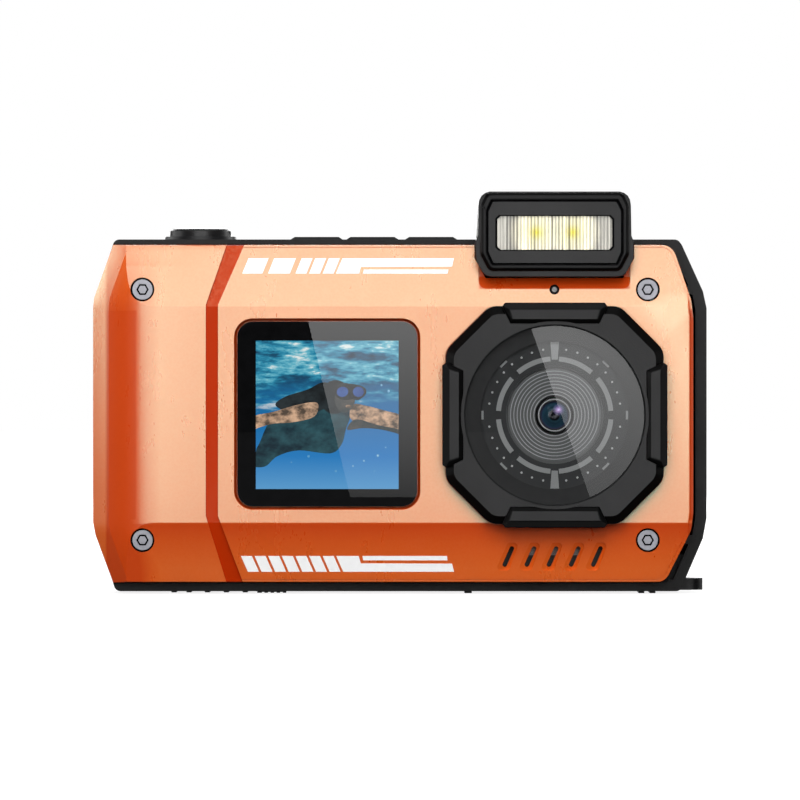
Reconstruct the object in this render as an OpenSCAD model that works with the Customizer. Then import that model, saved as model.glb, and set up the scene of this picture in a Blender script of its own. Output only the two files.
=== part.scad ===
/* [Body] */
// Width of the orange front shell on its left half, body centre to the grip side
body_half_w = 55; // [54:0.5:56]
// Height of the top deck above the ground
deck_z = 63.5; // [63:0.1:64]
// Underside of the frame above the ground
frame_bottom = 0.4; // [0.3:0.1:0.6]
// Front plane of the shell
front_y = -12.6; // [-13:0.1:-12.4]
// Plane where the front shell meets the frame
split_front_y = -5.4; // [-5.6:0.1:-5.2]
// Plane where the frame meets the rear shell
split_rear_y = 10; // [9.9:0.1:10.2]
// Rear plane of the back shell
rear_y = 16.2; // [16:0.1:16.4]
// Wall thickness of the front and rear shells
shell_wall = 1.8; // [1.6:0.1:2]
// Wall thickness of the frame
frame_wall = 2; // [1.8:0.1:2.2]
// Height of the fold where the top facet leans back
fold_top_z = 51.4; // [51:0.1:52]
// Height of the fold where the bottom facet leans back
fold_bottom_z = 12.8; // [12.4:0.1:13.2]
// Sink of the accent strip below the shell skin
strip_sink = 0.6; // [0.4:0.1:0.8]

/* [Lens unit] */
// Lens axis, distance right of the middle
lens_x = 27.6; // [27.2:0.1:28]
// Lens axis height
lens_z = 32; // [31.8:0.1:32.2]
// Half width of the octagonal lens bezel
bezel_half = 19.4; // [19:0.1:19.6]
// Corner cut of the octagonal lens bezel
bezel_cut = 7.84; // [7.4:0.1:8.2]
// Radius of the lens cover glass
glass_r = 16.15; // [16:0.05:16.2]
// Radius of the dial ring behind the glass
dial_r = 13.2; // [13:0.1:13.4]
// Radius at the front of the ridged cone
cone_r = 8.4; // [8.2:0.1:8.6]
// Radius of the lens barrel
barrel_r = 3.1; // [3:0.05:3.2]

/* [Fill light] */
// Half width of the fill light bezel
flash_half = 13.3; // [13:0.1:13.4]
// Top of the fill light housing
flash_top = 71.9; // [71.6:0.1:72.2]
// Front plane of the fill light bezel
flash_y = -15.2; // [-15.4:0.1:-15]

/* [Displays] */
// Middle of the front display window, across
fd_x = -13; // [-13.2:0.1:-12.8]
// Middle of the front display window, height
fd_z = 32.2; // [32:0.1:32.4]
// Width of the front display window
fd_w = 32.2; // [31.8:0.1:32.4]
// Height of the front display window
fd_h = 33.1; // [32.8:0.1:33.3]
// Active width of the front display
fd_act_w = 25.5; // [25:0.1:26]
// Active height of the front display
fd_act_h = 26.5; // [26:0.1:27]
// Width of the rear display window
rd_w = 64; // [63:0.5:64]
// Height of the rear display window
rd_h = 48; // [47.5:0.1:48]
// Middle of the rear display window, across
rd_x = 16; // [15.6:0.1:16.2]

/* [Controls] */
// Shutter button position, across
shutter_x = -35.9; // [-36.1:0.1:-35.7]
// Shutter button radius
shutter_r = 5.74; // [5.6:0.02:5.8]
// Shutter button crown above the ground
shutter_top = 65.7; // [65.6:0.1:65.8]
// Middle of all top buttons, front to back
top_y = 2; // [1.8:0.1:2.2]
// Length of a deck button
key_len = 9.3; // [9.1:0.1:9.4]
// Depth of a deck button
key_dep = 5.4; // [5.2:0.1:5.6]
// Radius of the four-way pad on the back
pad_r = 9; // [8.8:0.1:9.2]
// Radius of the confirm key inside the pad
ok_r = 3.6; // [3.5:0.1:3.7]
// Gap between a moving key and its opening
key_gap = 0.15; // [0.1:0.05:0.2]

/* [Battery door] */
// Hinge axis position, across
hinge_x = -47.5; // [-47.6:0.1:-47.4]
// Hinge axis height
hinge_z = 1.6; // [1.6:0.1:1.6]
// Radius of the hinge knuckle
knuckle_r = 1.2; // [1.15:0.01:1.2]
// Radius of the hinge pin
pin_r = 0.5; // [0.45:0.05:0.5]
// Far edge of the door, across
door_x1 = -5.5; // [-5.6:0.1:-5.4]
// Front edge of the door
door_y0 = -4.4; // [-4.4:0.1:-4.3]
// Rear edge of the door
door_y1 = 9; // [8.9:0.1:9]
// Inner face of the door plate above the ground
door_top = 2.8; // [2.7:0.1:2.8]

/* [Fixings and mounts] */
// Cap screw head radius
head_r = 1.8; // [1.75:0.05:1.85]
// Cap screw recess radius
recess_r = 2.15; // [2.1:0.05:2.2]
// Cap screw shank radius
shank_r = 1; // [0.95:0.05:1]
// Hexagon socket width across flats
socket_af = 1.95; // [1.8:0.05:2]
// Cap screws, grip side, across
screw_x0 = -46.03; // [-46.1:0.01:-46]
// Cap screws, lens side, across
screw_x1 = 44.29; // [44.2:0.01:44.4]
// Upper cap screws, height
screw_z1 = 54.45; // [54.4:0.01:54.5]
// Lower cap screws, height
screw_z0 = 9.65; // [9.6:0.01:9.7]
// Tripod bush bore radius, quarter inch thread
tripod_r = 3.175; // [3.175:0.001:3.175]
// Tripod bush depth
tripod_len = 6; // [5.5:0.1:6.2]
// Tripod bush position, across
tripod_x = 27.6; // [27:0.1:28]
// Tripod bush position, front to back
tripod_y = 2.4; // [2:0.1:2.8]
// Strap eye radius
strap_r = 1.1; // [1.05:0.05:1.15]

/* [Battery] */
// Battery width
bat_w = 29.4; // [29:0.1:29.6]
// Battery thickness
bat_t = 9.8; // [9.6:0.1:10]
// Battery height
bat_h = 33.4; // [33:0.1:34]

/* [Hidden] */
$fn = 64;
eps = 0.01;
// curved band of the grip between the flat front and the side facet
band_x = -44.5;
band_r = 13.2;
band_d = 2.4;
facet_d = 2.7;
side_d = 3;
slope_t = (62.3 - fold_top_z) / facet_d;
slope_b = (fold_bottom_z - 2.2) / facet_d;
// slanted vents in the lower facet
vent_x = 19.37;
vent_z = 6.71;
vent_pitch = 3.96;
vent_lean = 23.5;
bat_x0 = -42.9;
bat_y0 = -2.8;
bat_z0 = 5.4;
well_x0 = -43.2;
well_x1 = -6.6;
well_y0 = -3.6;
well_y1 = 8.2;
well_floor = 5.2;
seal_t = 0.4;
pin_tail = 0.55;
bezel_round = 3;
rear_x = [-46.5, 46.5];
rear_z = [5.4, 58.6];
pad_x = -34;
key_dx = 5.2;
pad_z = 30;
key_x = [-15, -4.95, 5.6];

orange = [0.87, 0.45, 0.16];
accent = [0.72, 0.2, 0.03];
black = [0.13, 0.13, 0.14];
darkgrey = [0.22, 0.22, 0.23];
rubber = [0.08, 0.08, 0.08];
steel = [0.7, 0.7, 0.74];
brass = [0.78, 0.62, 0.3];
green = [0.07, 0.32, 0.18];

// ---- helpers ----

// a flat outline drawn in x and z, thickened from y0 to y1
module slab(y0, y1) {
    translate([0, y1, 0])
        rotate([90, 0, 0])
            linear_extrude(y1 - y0)
                children();
}

// a round bar along y
module rod(x, z, y0, y1, r) {
    translate([x, y1, z])
        rotate([90, 0, 0])
            cylinder(h = y1 - y0, r = r);
}

// a round bar along z
module post(x, y, z0, z1, r) {
    translate([x, y, z0])
        cylinder(h = z1 - z0, r = r);
}

module box(x0, x1, y0, y1, z0, z1) {
    translate([x0, y0, z0])
        cube([x1 - x0, y1 - y0, z1 - z0]);
}

// a profile of [radius, distance forward] turned about the lens axis
module turned(pts) {
    translate([lens_x, 0, lens_z])
        rotate([90, 0, 0])
            rotate_extrude()
                polygon(pts);
}

// rectangle with true round corners, centred
module round_rect(w, h, r) {
    square([w, h - 2 * r], center = true);
    square([w - 2 * r, h], center = true);
    for (i = [-1, 1])
        for (j = [-1, 1])
            translate([i * (w / 2 - r), j * (h / 2 - r)])
                circle(r = r);
}

// rectangle between heights z0 and z1 with its corners cut, half width w
function cut_rect(w, z0, z1, cx0, cz0, cx1, cz1) = [
    [-w, z0 + cz0], [-w + cx0, z0], [w - cx0, z0], [w, z0 + cz0],
    [w, z1 - cz1], [w - cx1, z1], [-w + cx1, z1], [-w, z1 - cz1]];

function octagon(a, c) = [
    [a - c, a], [a, a - c], [a, c - a], [a - c, -a],
    [c - a, -a], [-a, c - a], [-a, a - c], [c - a, a]];

// rounds the outer corners of a flat outline
module eased(r) {
    offset(r = r, $fn = 32)
        offset(delta = -r)
            children();
}

// a straight slot with round ends, centred, leaning by a degrees
module lean_slot(len, w, a) {
    rotate(-a)
        round_rect(w, len, w / 2 - eps);
}

// ---- outline of the folded front shell at depth y ----

function d_of(y) = y - front_y;
function left_x(y) = d_of(y) < band_d
    ? band_x - band_r * sin(acos(1 - d_of(y) / band_r))
    : max(-body_half_w, -52.1 - (d_of(y) - band_d) * 2.9 / side_d);
function right_x(y) = 51.6 + min(d_of(y), 0.8);
function top_of(y) = min(62.5, fold_top_z + d_of(y) * slope_t);
function bottom_of(y) = max(2, fold_bottom_z - d_of(y) * slope_b);
function lt(z) = z < 51.2 ? 0 : z < 53 ? 0.095 * (z - 51.2) : 0.17 + 0.361 * (z - 53);
function lb(z) = z > 12.8 ? 0 : z > 10.46 ? 0.19 * (12.8 - z) : 0.45 + 0.372 * (10.46 - z);
function rt(z) = z < 49.5 ? 0 : z < 52.6 ? 0.13 * (z - 49.5) : 0.4 + 0.337 * (z - 52.6);
function rb(z) = z > 14.5 ? 0 : z > 11.4 ? 0.13 * (14.5 - z) : 0.4 + 0.5 * (11.4 - z);

function shell_outline(y, g) = let(
    l = left_x(y), r = right_x(y), t = top_of(y), b = bottom_of(y))
    [
        [l + lb(b) + g, b + g], [l + lb(max(b, 10.46)) + g, max(b, 10.46) + g / 3],
        [l + g, 12.8 + g / 3], [l + g, 51.2 - g / 3],
        [l + lt(min(t, 53)) + g, min(t, 53) - g / 3], [l + lt(t) + g, t - g],
        [r - rt(t) - g, t - g], [r - rt(min(t, 52.6)) - g, min(t, 52.6) - g / 3],
        [r - g, 49.5 - g / 3], [r - g, 14.5 + g / 3],
        [r - rb(max(b, 11.4)) - g, max(b, 11.4) + g / 3], [r - rb(b) - g, b + g]];

// the closed folded form, shrunk by g on every side, its back at y1
module folded_form(g, y1, sink = 0) {
    hull() {
        for (d = [0, 0.12, 0.3, 0.6, 0.8, 1.2, 1.8, 2.4, 2.7, 5.4])
            translate([0, g + sink, 0])
                slab(front_y + d, front_y + d + eps)
                    polygon(shell_outline(front_y + d, g));
        slab(y1 - eps, y1)
            polygon(shell_outline(y1, g));
    }
}

// flat region on the grip side of the accent strip
module grip_region(shift) {
    polygon([[-60, 70], [-28.4 + shift, 70], [-34.7 + shift, 51.7],
        [-34.7 + shift, 14], [-29.8 + shift, -2], [-60, -2]]);
}

// flat region on the lens side of the accent strip
module lens_region(shift) {
    polygon([[60, 70], [-24.6 + shift, 70], [-32.5 + shift, 51.7],
        [-32.5 + shift, 14], [-26.6 + shift, -2], [60, -2]]);
}

module screw_places(xs, zs) {
    for (x = xs)
        for (z = zs)
            translate([x, 0, z])
                children();
}

module cover_boss() {
    rod(0, 0, -10.4, split_front_y, 3);
}

module cover_bore() {
    rod(0, 0, -13, -9.2, recess_r);
    rod(0, 0, -10, split_front_y + 1, shank_r + 0.1);
}

frame_pts = [[-51.2, deck_z], [-54.3, 54], [-54.6, 51.2], [-54.6, 12.8], [-54.1, 10.2],
    [-51, frame_bottom], [50.3, frame_bottom], [51.3, 2.9], [54.34, 9.9], [55, 13.5],
    [55, 51.2], [54.34, 54.2], [50.57, 62.5], [49.85, deck_z]];
inner_pts = [[-49.9, deck_z - frame_wall], [-52.4, 54], [-52.6, 51], [-52.6, 13],
    [-52.2, 10.6], [-49.6, frame_bottom + frame_wall], [49, frame_bottom + frame_wall],
    [52.4, 10.4], [53, 13.7], [53, 51], [52.4, 53.8], [48.8, deck_z - frame_wall]];
seal_out = [[-50.2, 62], [-53.2, 53.6], [-53.4, 51], [-53.4, 13], [-53, 10.4],
    [-50, 2], [48, 2], [51, 10.6], [51.5, 13.6], [51.5, 51], [51, 53.6], [48, 62]];
seal_in = [[-49.6, 61.4], [-52.5, 53.5], [-52.6, 51], [-52.6, 13], [-52.3, 10.6],
    [-49.5, 2.6], [47.6, 2.6], [50.3, 10.8], [50.7, 13.7], [50.7, 50.9], [50.3, 53.4],
    [47.6, 61.4]];

// slot of vent n
module vent(n) {
    translate([vent_x + n * vent_pitch, vent_z])
        lean_slot(3.95, 0.82, vent_lean);
}

// ramped pocket beside vent n: no depth at its left edge, deepest at its right wall
module vent_pocket(n) {
    intersection() {
        slab(-14, -8)
            translate([vent_x + n * vent_pitch, vent_z])
                eased(0.7)
                    polygon([[-2.3, -2.5], [0.15, -2.5], [1.95, 2.5], [-0.3, 2.5]]);
        translate([vent_x + n * vent_pitch - 1.2, front_y + (fold_bottom_z - vent_z) / slope_b, vent_z])
            rotate([atan(1 / slope_b), 0, 0])
                rotate([0, vent_lean, 0])
                    rotate([0, 0, 15])
                        translate([0, -3, -6])
                            cube([6, 3, 12]);
    }
}

// pocket in the top facet that runs down under the fill light
module light_pocket() {
    y0 = front_y + (54.57 - fold_top_z) / slope_t;
    intersection() {
        slab(-14, -8)
            translate([lens_x, 58.3])
                round_rect(27.1, 7.46, 1.4);
        translate([lens_x - 20, 0, 0])
            rotate([90, 0, 90])
                linear_extrude(40)
                    polygon([[-14, 54.57], [y0, 54.57], [y0 + 1.45, 56.75], [y0 + 2.5, 61], [-14, 62]]);
    }
}

// right-hand outline of the lens half, with its true round corners
module lens_half(inset) {
    offset(delta = -inset)
        eased(2.8)
            polygon(shell_outline(split_front_y, 0));
}

// fine line cut along the edge of the lens half
module edge_line() {
    difference() {
        slab(-14, -8)
            difference() {
                lens_half(0.42);
                lens_half(0.62);
            }
        translate([0, 0.22, 0])
            folded_form(0, split_front_y);
    }
}

// ---- shells ----

module front_cover() {
    color(orange)
        difference() {
            union() {
                intersection() {
                    difference() {
                        folded_form(0, split_front_y);
                        folded_form(shell_wall, split_front_y + 1);
                    }
                    slab(-14, split_front_y)
                        intersection() {
                            lens_region(0);
                            lens_half(0);
                        }
                }
                screw_places([screw_x1], [screw_z0, screw_z1])
                    cover_boss();
            }
            screw_places([screw_x1], [screw_z0, screw_z1])
                cover_bore();
            // bevelled display window and its ledge
            hull() {
                slab(-13, front_y)
                    translate([fd_x, fd_z])
                        round_rect(fd_w + 1.1, fd_h + 1.1, 3.35);
                slab(-12.05, -10.9)
                    translate([fd_x, fd_z])
                        round_rect(fd_w + 0.2, fd_h + 0.2, 2.9);
            }
            slab(-13, -9)
                translate([fd_x, fd_z])
                    square([fd_act_w + 1.6, fd_act_h + 1.6], center = true);
            // seat and opening for the lens unit
            slab(-13, -12)
                translate([lens_x, lens_z])
                    eased(bezel_round)
                        polygon(octagon(bezel_half + 0.1, bezel_cut));
            rod(lens_x, lens_z, -13, -5, 15.4);
            // notch for the fill light
            slab(-14, 0)
                translate([lens_x, 0])
                    polygon([[-14.3, 70], [-14.3, 60.1], [-12.3, 56.5], [12.3, 56.5],
                        [14.3, 60.1], [14.3, 70]]);
            light_pocket();
            edge_line();
            // microphone hole
            rod(lens_x, 54.45, -14, -9, 0.9);
            for (n = [0 : 4]) {
                slab(-13, -8)
                    vent(n);
                vent_pocket(n);
            }
        }
}

module grip_cover() {
    color(orange)
        difference() {
            union() {
                intersection() {
                    difference() {
                        folded_form(0, split_front_y);
                        folded_form(shell_wall, split_front_y + 1);
                    }
                    slab(-14, split_front_y)
                        grip_region(0);
                }
                screw_places([screw_x0], [screw_z0, screw_z1])
                    cover_boss();
            }
            screw_places([screw_x0], [screw_z0, screw_z1])
                cover_bore();
        }
}

module accent_strip() {
    color(accent)
        intersection() {
            difference() {
                folded_form(0, split_front_y, strip_sink);
                folded_form(shell_wall, split_front_y + 1);
            }
            slab(-14, split_front_y)
                difference() {
                    translate([-40, 0])
                        square([16, 66]);
                    lens_region(0);
                    grip_region(0);
                }
        }
}

module front_seal() {
    color(rubber)
        slab(split_front_y, split_front_y + seal_t)
            difference() {
                polygon(seal_out);
                polygon(seal_in);
            }
}

module rear_seal() {
    color(rubber)
        slab(split_rear_y - seal_t, split_rear_y)
            difference() {
                polygon(seal_out);
                polygon(seal_in);
            }
}

module mid_frame() {
    color(black)
        difference() {
            union() {
                slab(split_front_y, split_rear_y)
                    difference() {
                        eased(1.2)
                            polygon(frame_pts);
                        polygon(inner_pts);
                    }
                // thick floor round the battery well
                box(-49.9, -2, split_front_y, split_rear_y, 1, well_floor);
                screw_places([screw_x0, screw_x1], [screw_z0, screw_z1])
                    rod(0, 0, split_front_y, -3.6, 2.2);
                screw_places(rear_x, rear_z)
                    rod(0, 0, 5, split_rear_y, 2.6);
                // webs that tie the bosses to the walls
                for (z = [screw_z0, screw_z1]) {
                    box(-53.5, screw_x0, split_front_y, -3.6, z - 0.8, z + 0.8);
                    box(screw_x1, 53.3, split_front_y, -3.6, z - 0.8, z + 0.8);
                }
                for (x = rear_x) {
                    box(x - 0.8, x + 0.8, 5, 9.4, rear_z[1], deck_z - 1);
                    box(x - 0.8, x + 0.8, 5, 9.4, frame_bottom + 1, rear_z[0]);
                }
                // block behind the tripod bush
                box(tripod_x - 7, tripod_x + 7, -4.4, 9, 1, 8);
                // block that carries the strap eye
                box(45.5, 51, -2.6, 6.6, 2, 7);
                // feet
                box(11.6, 12.9, -3, 8, 0, 1);
                box(42.9, 43.9, -3, 8, 0, 1);
                box(44.9, 45.9, -3, 8, 0, 1);
            }
            screw_places([screw_x0, screw_x1], [screw_z0, screw_z1])
                rod(0, 0, -6, -1, shank_r + 0.02);
            screw_places(rear_x, rear_z)
                rod(0, 0, 4.4, 11, shank_r + 0.02);
            // seal grooves
            slab(split_front_y - 1, split_front_y + seal_t)
                difference() {
                    polygon(seal_out);
                    polygon(seal_in);
                }
            slab(split_rear_y - seal_t, split_rear_y + 1)
                difference() {
                    polygon(seal_out);
                    polygon(seal_in);
                }
            // battery door recess and well
            box(hinge_x - 1.8, door_x1 + 0.5, door_y0 - 0.2, door_y1 + 0.2, -1, door_top + 0.2);
            box(well_x0, well_x1, well_y0, well_y1, 0, well_floor + 1);
            // keeper for the latch bolt
            box(door_x1, door_x1 + 3, 0, 4.6, 0.85, 1.95);
            rod(hinge_x, hinge_z, door_y0 - pin_tail - eps, door_y1 + pin_tail + eps, pin_r);
            // tripod bush seat
            post(tripod_x, tripod_y, -1, frame_bottom + tripod_len, 4.6);
            // strap eye seat
            box(46.9, 56, -1.6, 5.6, -1, 2.7);
            // shutter and deck key openings
            post(shutter_x, top_y, 60, 66, 6.1);
            for (x = key_x)
                box(x - key_len / 2 - key_gap, x + key_len / 2 + key_gap,
                    top_y - key_dep / 2 - key_gap, top_y + key_dep / 2 + key_gap, 60, 66);
            // cable opening under the fill light
            box(lens_x - 4, lens_x + 4, -3, 3, 60, 66);
        }
}

module rear_cover() {
    color(black)
        difference() {
            union() {
                difference() {
                    hull() {
                        slab(split_rear_y, 13.6)
                            eased(1.2)
                                polygon([for (p = frame_pts) [p[0] * 0.996, p[1]]]);
                        slab(rear_y - eps, rear_y)
                            eased(1.2)
                                polygon([for (p = frame_pts) [p[0] * 0.965, 32 + (p[1] - 32) * 0.94]]);
                    }
                    slab(split_rear_y - 1, rear_y - shell_wall)
                        polygon([for (p = inner_pts) [p[0] * 0.985, 32 + (p[1] - 32) * 0.97]]);
                }
                screw_places(rear_x, rear_z)
                    rod(0, 0, split_rear_y, rear_y - 1, 2.9);
                // thumb rest
                slab(rear_y - 1, rear_y + 0.5)
                    for (i = [0 : 3])
                        translate([-51.4 + i * 1.7, 44])
                            square([0.8, 12]);
            }
            screw_places(rear_x, rear_z) {
                rod(0, 0, 14, 18, recess_r);
                rod(0, 0, 9, 18, shank_r + 0.1);
            }
            // rear display window and ledge
            slab(15, 18)
                translate([rd_x, 32])
                    round_rect(rd_w + 0.2, rd_h + 0.2, 2);
            slab(9, 18)
                translate([rd_x, 32])
                    square([60, 45.6], center = true);
            // key openings
            rod(pad_x, pad_z, 9, 18, pad_r + key_gap);
            for (z = [10, 51])
                for (i = [-1, 1])
                    slab(9, 18)
                        translate([pad_x + i * key_dx, z])
                            round_rect(8.4 + 2 * key_gap, 4.6 + 2 * key_gap, 1.8 + key_gap);
        }
}

// ---- cap screws ----

module cap_screw(seat, tip) {
    difference() {
        union() {
            rod(0, 0, seat - 2, seat, head_r);
            rod(0, 0, seat - eps, tip, shank_r);
        }
        translate([0, seat - 1, 0])
            rotate([90, 0, 0])
                cylinder(h = 3, r = socket_af / sqrt(3), $fn = 6);
    }
}

module front_screws() {
    color(steel)
        screw_places([screw_x0, screw_x1], [screw_z0, screw_z1])
            cap_screw(-9.2, -3.7);
}

module rear_screws() {
    color(steel)
        screw_places(rear_x, rear_z)
            rotate([0, 0, 180])
                cap_screw(-14, -5.4);
}

// ---- front display ----

module front_glass() {
    color([0.03, 0.03, 0.04])
        slab(-12.35, -10.9)
            translate([fd_x, fd_z])
                round_rect(fd_w, fd_h, 2.8);
}

module front_lcd() {
    color([0.1, 0.42, 0.62])
        slab(-10.85, -8.9)
            translate([fd_x, fd_z - 0.15])
                square([fd_act_w, fd_act_h], center = true);
    color(darkgrey)
        slab(-8.95, -8)
            translate([fd_x, fd_z])
                square([fd_w - 1, fd_h - 1], center = true);
}

// ---- lens unit ----

module pad_base(d) {
    polygon([[-8.9, 20.05], [8.9, 20.05], [9.37, 19.4], [9.15, 18.8], [7.94, 16.1 + d],
        [-7.94, 16.1 + d], [-9.15, 18.8], [-9.37, 19.4]]);
}

module lens_bezel() {
    color(black)
        difference() {
            hull() {
                slab(-15.1, -12)
                    translate([lens_x, lens_z])
                        eased(bezel_round)
                            polygon(octagon(bezel_half, bezel_cut));
                slab(-16.3, -15.1)
                    translate([lens_x, lens_z])
                        eased(bezel_round - 0.6)
                            polygon(octagon(bezel_half - 1.4, bezel_cut - 0.8));
            }
            rod(lens_x, lens_z, -17, -14.5, glass_r + 0.05);
            rod(lens_x, lens_z, -15, -11, 14.9);
            for (a = [0, 90, 180, 270])
                slab(-17, -13)
                    translate([lens_x, lens_z])
                        rotate(a)
                            intersection() {
                                pad_base(0.2);
                                difference() {
                                    circle(r = 30);
                                    circle(r = glass_r + 0.6);
                                }
                            }
        }
    // carrier tube behind the bezel
    color(black)
        turned([[13.4, 6.4], [14.9, 6.4], [14.9, 13], [14.4, 13], [14.4, 14.6], [13.4, 14.6]]);
}

module bezel_pads() {
    color(darkgrey)
        for (a = [0, 90, 180, 270])
            intersection() {
                hull() {
                    slab(-16.2, -13)
                        translate([lens_x, lens_z])
                            rotate(a)
                                pad_base(0.25);
                    slab(-16.9, -16.2)
                        translate([lens_x, lens_z])
                            rotate(a)
                                polygon([[-8.1, 18.8], [8.1, 18.8], [7.55, 17.1], [-7.55, 17.1]]);
                }
                difference() {
                    rod(lens_x, lens_z, -18, -12, 30);
                    rod(lens_x, lens_z, -19, -11, glass_r + 0.6);
                }
            }
}

module lens_glass() {
    color([0.2, 0.22, 0.25, 0.35])
        turned([[0, 14.6], [glass_r, 14.6], [glass_r, 15.8], [glass_r - 0.25, 16.05], [0, 16.05]]);
}

module dial_ring() {
    color([0.3, 0.3, 0.3])
        difference() {
            union() {
                turned([[cone_r + 0.3, 13], [dial_r + 0.1, 13], [dial_r + 0.1, 13.8],
                    [cone_r + 0.3, 13.8]]);
                // raised arcs of the scale
                for (a = [0 : 45 : 315])
                    translate([lens_x, -13.7, lens_z])
                        rotate([90, 0, 0])
                            rotate([0, 0, a + 4.2])
                                rotate_extrude(angle = 36.6)
                                    translate([9.58, 0])
                                        square([0.92, 0.3]);
                // pips of the scale
                for (a = [10 : 10 : 350])
                    if (a % 90 != 0)
                        rod(lens_x + 11.84 * cos(a), lens_z + 11.84 * sin(a), -14, -13.7, 0.16);
                for (a = [90, 270])
                    slab(-14, -13.7)
                        translate([lens_x, lens_z])
                            rotate(a)
                                translate([9.9, -0.6])
                                    square([3.2, 1.2]);
            }
            // notches of the scale
            for (a = [45 : 90 : 315])
                slab(-15, -13.5)
                    translate([lens_x, lens_z])
                        rotate(a)
                            translate([9.4, -0.55])
                                square([2.4, 1.1]);
        }
}

module ridged_cone() {
    color([0.35, 0.35, 0.36])
        turned(concat(
            [[3.35, 9.6], [9.2, 9.6], [9.2, 12.95], [8.5, 12.95]],
            [for (i = [0 : 15]) let(r = cone_r - floor((i + 1) / 2) * 0.6)
                [r, 12.8 - floor(i / 2) * 0.36]],
            [[3.35, 9.92]]));
}

module lens_barrel() {
    color([0.16, 0.16, 0.17])
        turned([[2.7, 5.2], [barrel_r, 5.2], [barrel_r, 11.3], [2.95, 11.5], [2.5, 11.5],
            [2.5, 11.2], [2.7, 11]]);
}

module lens_elements() {
    color([0.25, 0.3, 0.45, 0.6]) {
        turned([[0, 9.8], [2.65, 9.8], [2.65, 10.5], [2.45, 10.7], [2.2, 10.9], [1.8, 11.12],
            [1.2, 11.32], [0.6, 11.42], [0, 11.45]]);
        turned([[0, 8.3], [1.2, 8.45], [2.2, 8.9], [2.65, 8.9], [2.65, 9.5], [2, 9.3], [0, 9]]);
        turned([[0, 6], [2.65, 6], [2.65, 7], [1.4, 7.6], [0, 7.8]]);
    }
}

module lens_holder() {
    color(black)
        difference() {
            box(lens_x - 5.5, lens_x + 5.5, -7.6, -2.3, lens_z - 5.5, lens_z + 5.5);
            rod(lens_x, lens_z, -8, -4, barrel_r + 0.05);
            box(lens_x - 4.2, lens_x + 4.2, -4.6, -2, lens_z - 4.2, lens_z + 4.2);
        }
}

module image_sensor() {
    color([0.3, 0.36, 0.4])
        box(lens_x - 3.6, lens_x + 3.6, -3.3, -2.3, lens_z - 3, lens_z + 3);
}

module sensor_board() {
    color(green)
        difference() {
            box(lens_x - 10, lens_x + 10, -2.3, -1.3, lens_z - 9, lens_z + 9);
            for (i = [-1, 1])
                for (j = [-1, 1])
                    rod(lens_x + i * 8, lens_z + j * 7, -3, 0, 0.9);
        }
}

// ---- fill light ----

// right half of the housing outline, from the middle of the foot to the middle of the top
flash_side = [[11.3, 56.7], [12.2, 56.9], [12.8, 57.5], [13.9, 59.5], [14.1, 60.3], [14.1, 63],
    [13.7, 64], [13.6, 69.4], [13.45, 70.4], [13.05, 71.15], [12.4, flash_top - 0.25],
    [11.6, flash_top]];

module flash_outline() {
    translate([lens_x, 0])
        polygon(concat(flash_side,
            [for (i = [len(flash_side) - 1 : -1 : 0]) [-flash_side[i][0], flash_side[i][1]]]));
}

module flash_housing() {
    color(black)
        difference() {
            union() {
                slab(-14.2, split_front_y)
                    flash_outline();
                hull() {
                    slab(split_front_y, 4)
                        intersection() {
                            flash_outline();
                            translate([0, deck_z])
                                square([60, 20]);
                        }
                    slab(8, 9)
                        translate([lens_x - 12, deck_z])
                            square([24, 3]);
                }
            }
            box(lens_x - 11.4, lens_x + 11.4, -15, -6.6, 59.6, 70);
            box(lens_x - 3, lens_x + 3, -7, 3, deck_z - 1, 68);
        }
}

module flash_bezel() {
    color(black)
        difference() {
            hull() {
                slab(-14.7, -14.2)
                    translate([lens_x, 0])
                        eased(1.3)
                            polygon(cut_rect(flash_half, 57.7, 71.7, 1.6, 3, 1.1, 2.2));
                slab(flash_y, -14.7)
                    translate([lens_x, 0])
                        eased(1)
                            polygon(cut_rect(flash_half - 0.5, 58.2, 71.2, 1.5, 2.8, 1, 2));
            }
            slab(-16, -14)
                translate([lens_x, 0])
                    eased(0.4)
                        polygon(cut_rect(12.2, 58.75, 70.45, 1, 2.2, 0.9, 1.9));
        }
}

module flash_panel() {
    color(darkgrey)
        difference() {
            slab(-14.9, -14.2)
                translate([lens_x, 0])
                    eased(0.4)
                        polygon(cut_rect(11.8, 59.15, 70.05, 0.9, 2, 0.8, 1.7));
            slab(-16, -14)
                translate([lens_x, 0])
                    polygon(cut_rect(10.35, 61.4, 67.6, 0.6, 0.6, 0.6, 0.6));
        }
}

module flash_window() {
    color([0.95, 0.93, 0.8, 0.6])
        union() {
            slab(-14.7, -13.6)
                translate([lens_x, 0])
                    polygon(cut_rect(10.3, 61.45, 67.55, 0.6, 0.6, 0.6, 0.6));
            slab(-13.6, -13.2)
                translate([lens_x, 0])
                    window_ribs();
        }
}

module window_ribs() {
    for (i = [-9 : 9])
        translate([i * 1.08 - 0.3, 61.6])
            square([0.6, 5.8]);
}

module flash_reflector() {
    color([0.8, 0.8, 0.78])
        difference() {
            box(lens_x - 11, lens_x + 11, -13.1, -8, 60.4, 68.8);
            for (i = [-1, 1])
                translate([lens_x + i * 3.25, -7.9, 64.6])
                    rotate([90, 0, 0])
                        cylinder(h = 6, r1 = 1.4, r2 = 3.1);
            box(lens_x - 10, lens_x + 10, -14, -11, 61.4, 67.8);
        }
}

module flash_leds() {
    color([0.95, 0.8, 0.25])
        for (i = [-1, 1])
            box(lens_x + i * 3.25 - 0.8, lens_x + i * 3.25 + 0.8, -8.9, -7.7, 63.8, 65.4);
}

module flash_board() {
    color(green)
        box(lens_x - 11, lens_x + 11, -7.7, -6.7, 60, 69);
}

// ---- ports behind the front shell ----

module mic_port() {
    color([0.35, 0.35, 0.36])
        union() {
            rod(lens_x, 54.45, -11.4, -9.2, 0.65);
            rod(lens_x, 54.45, -9.3, -7.4, 1.8);
        }
}

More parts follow.
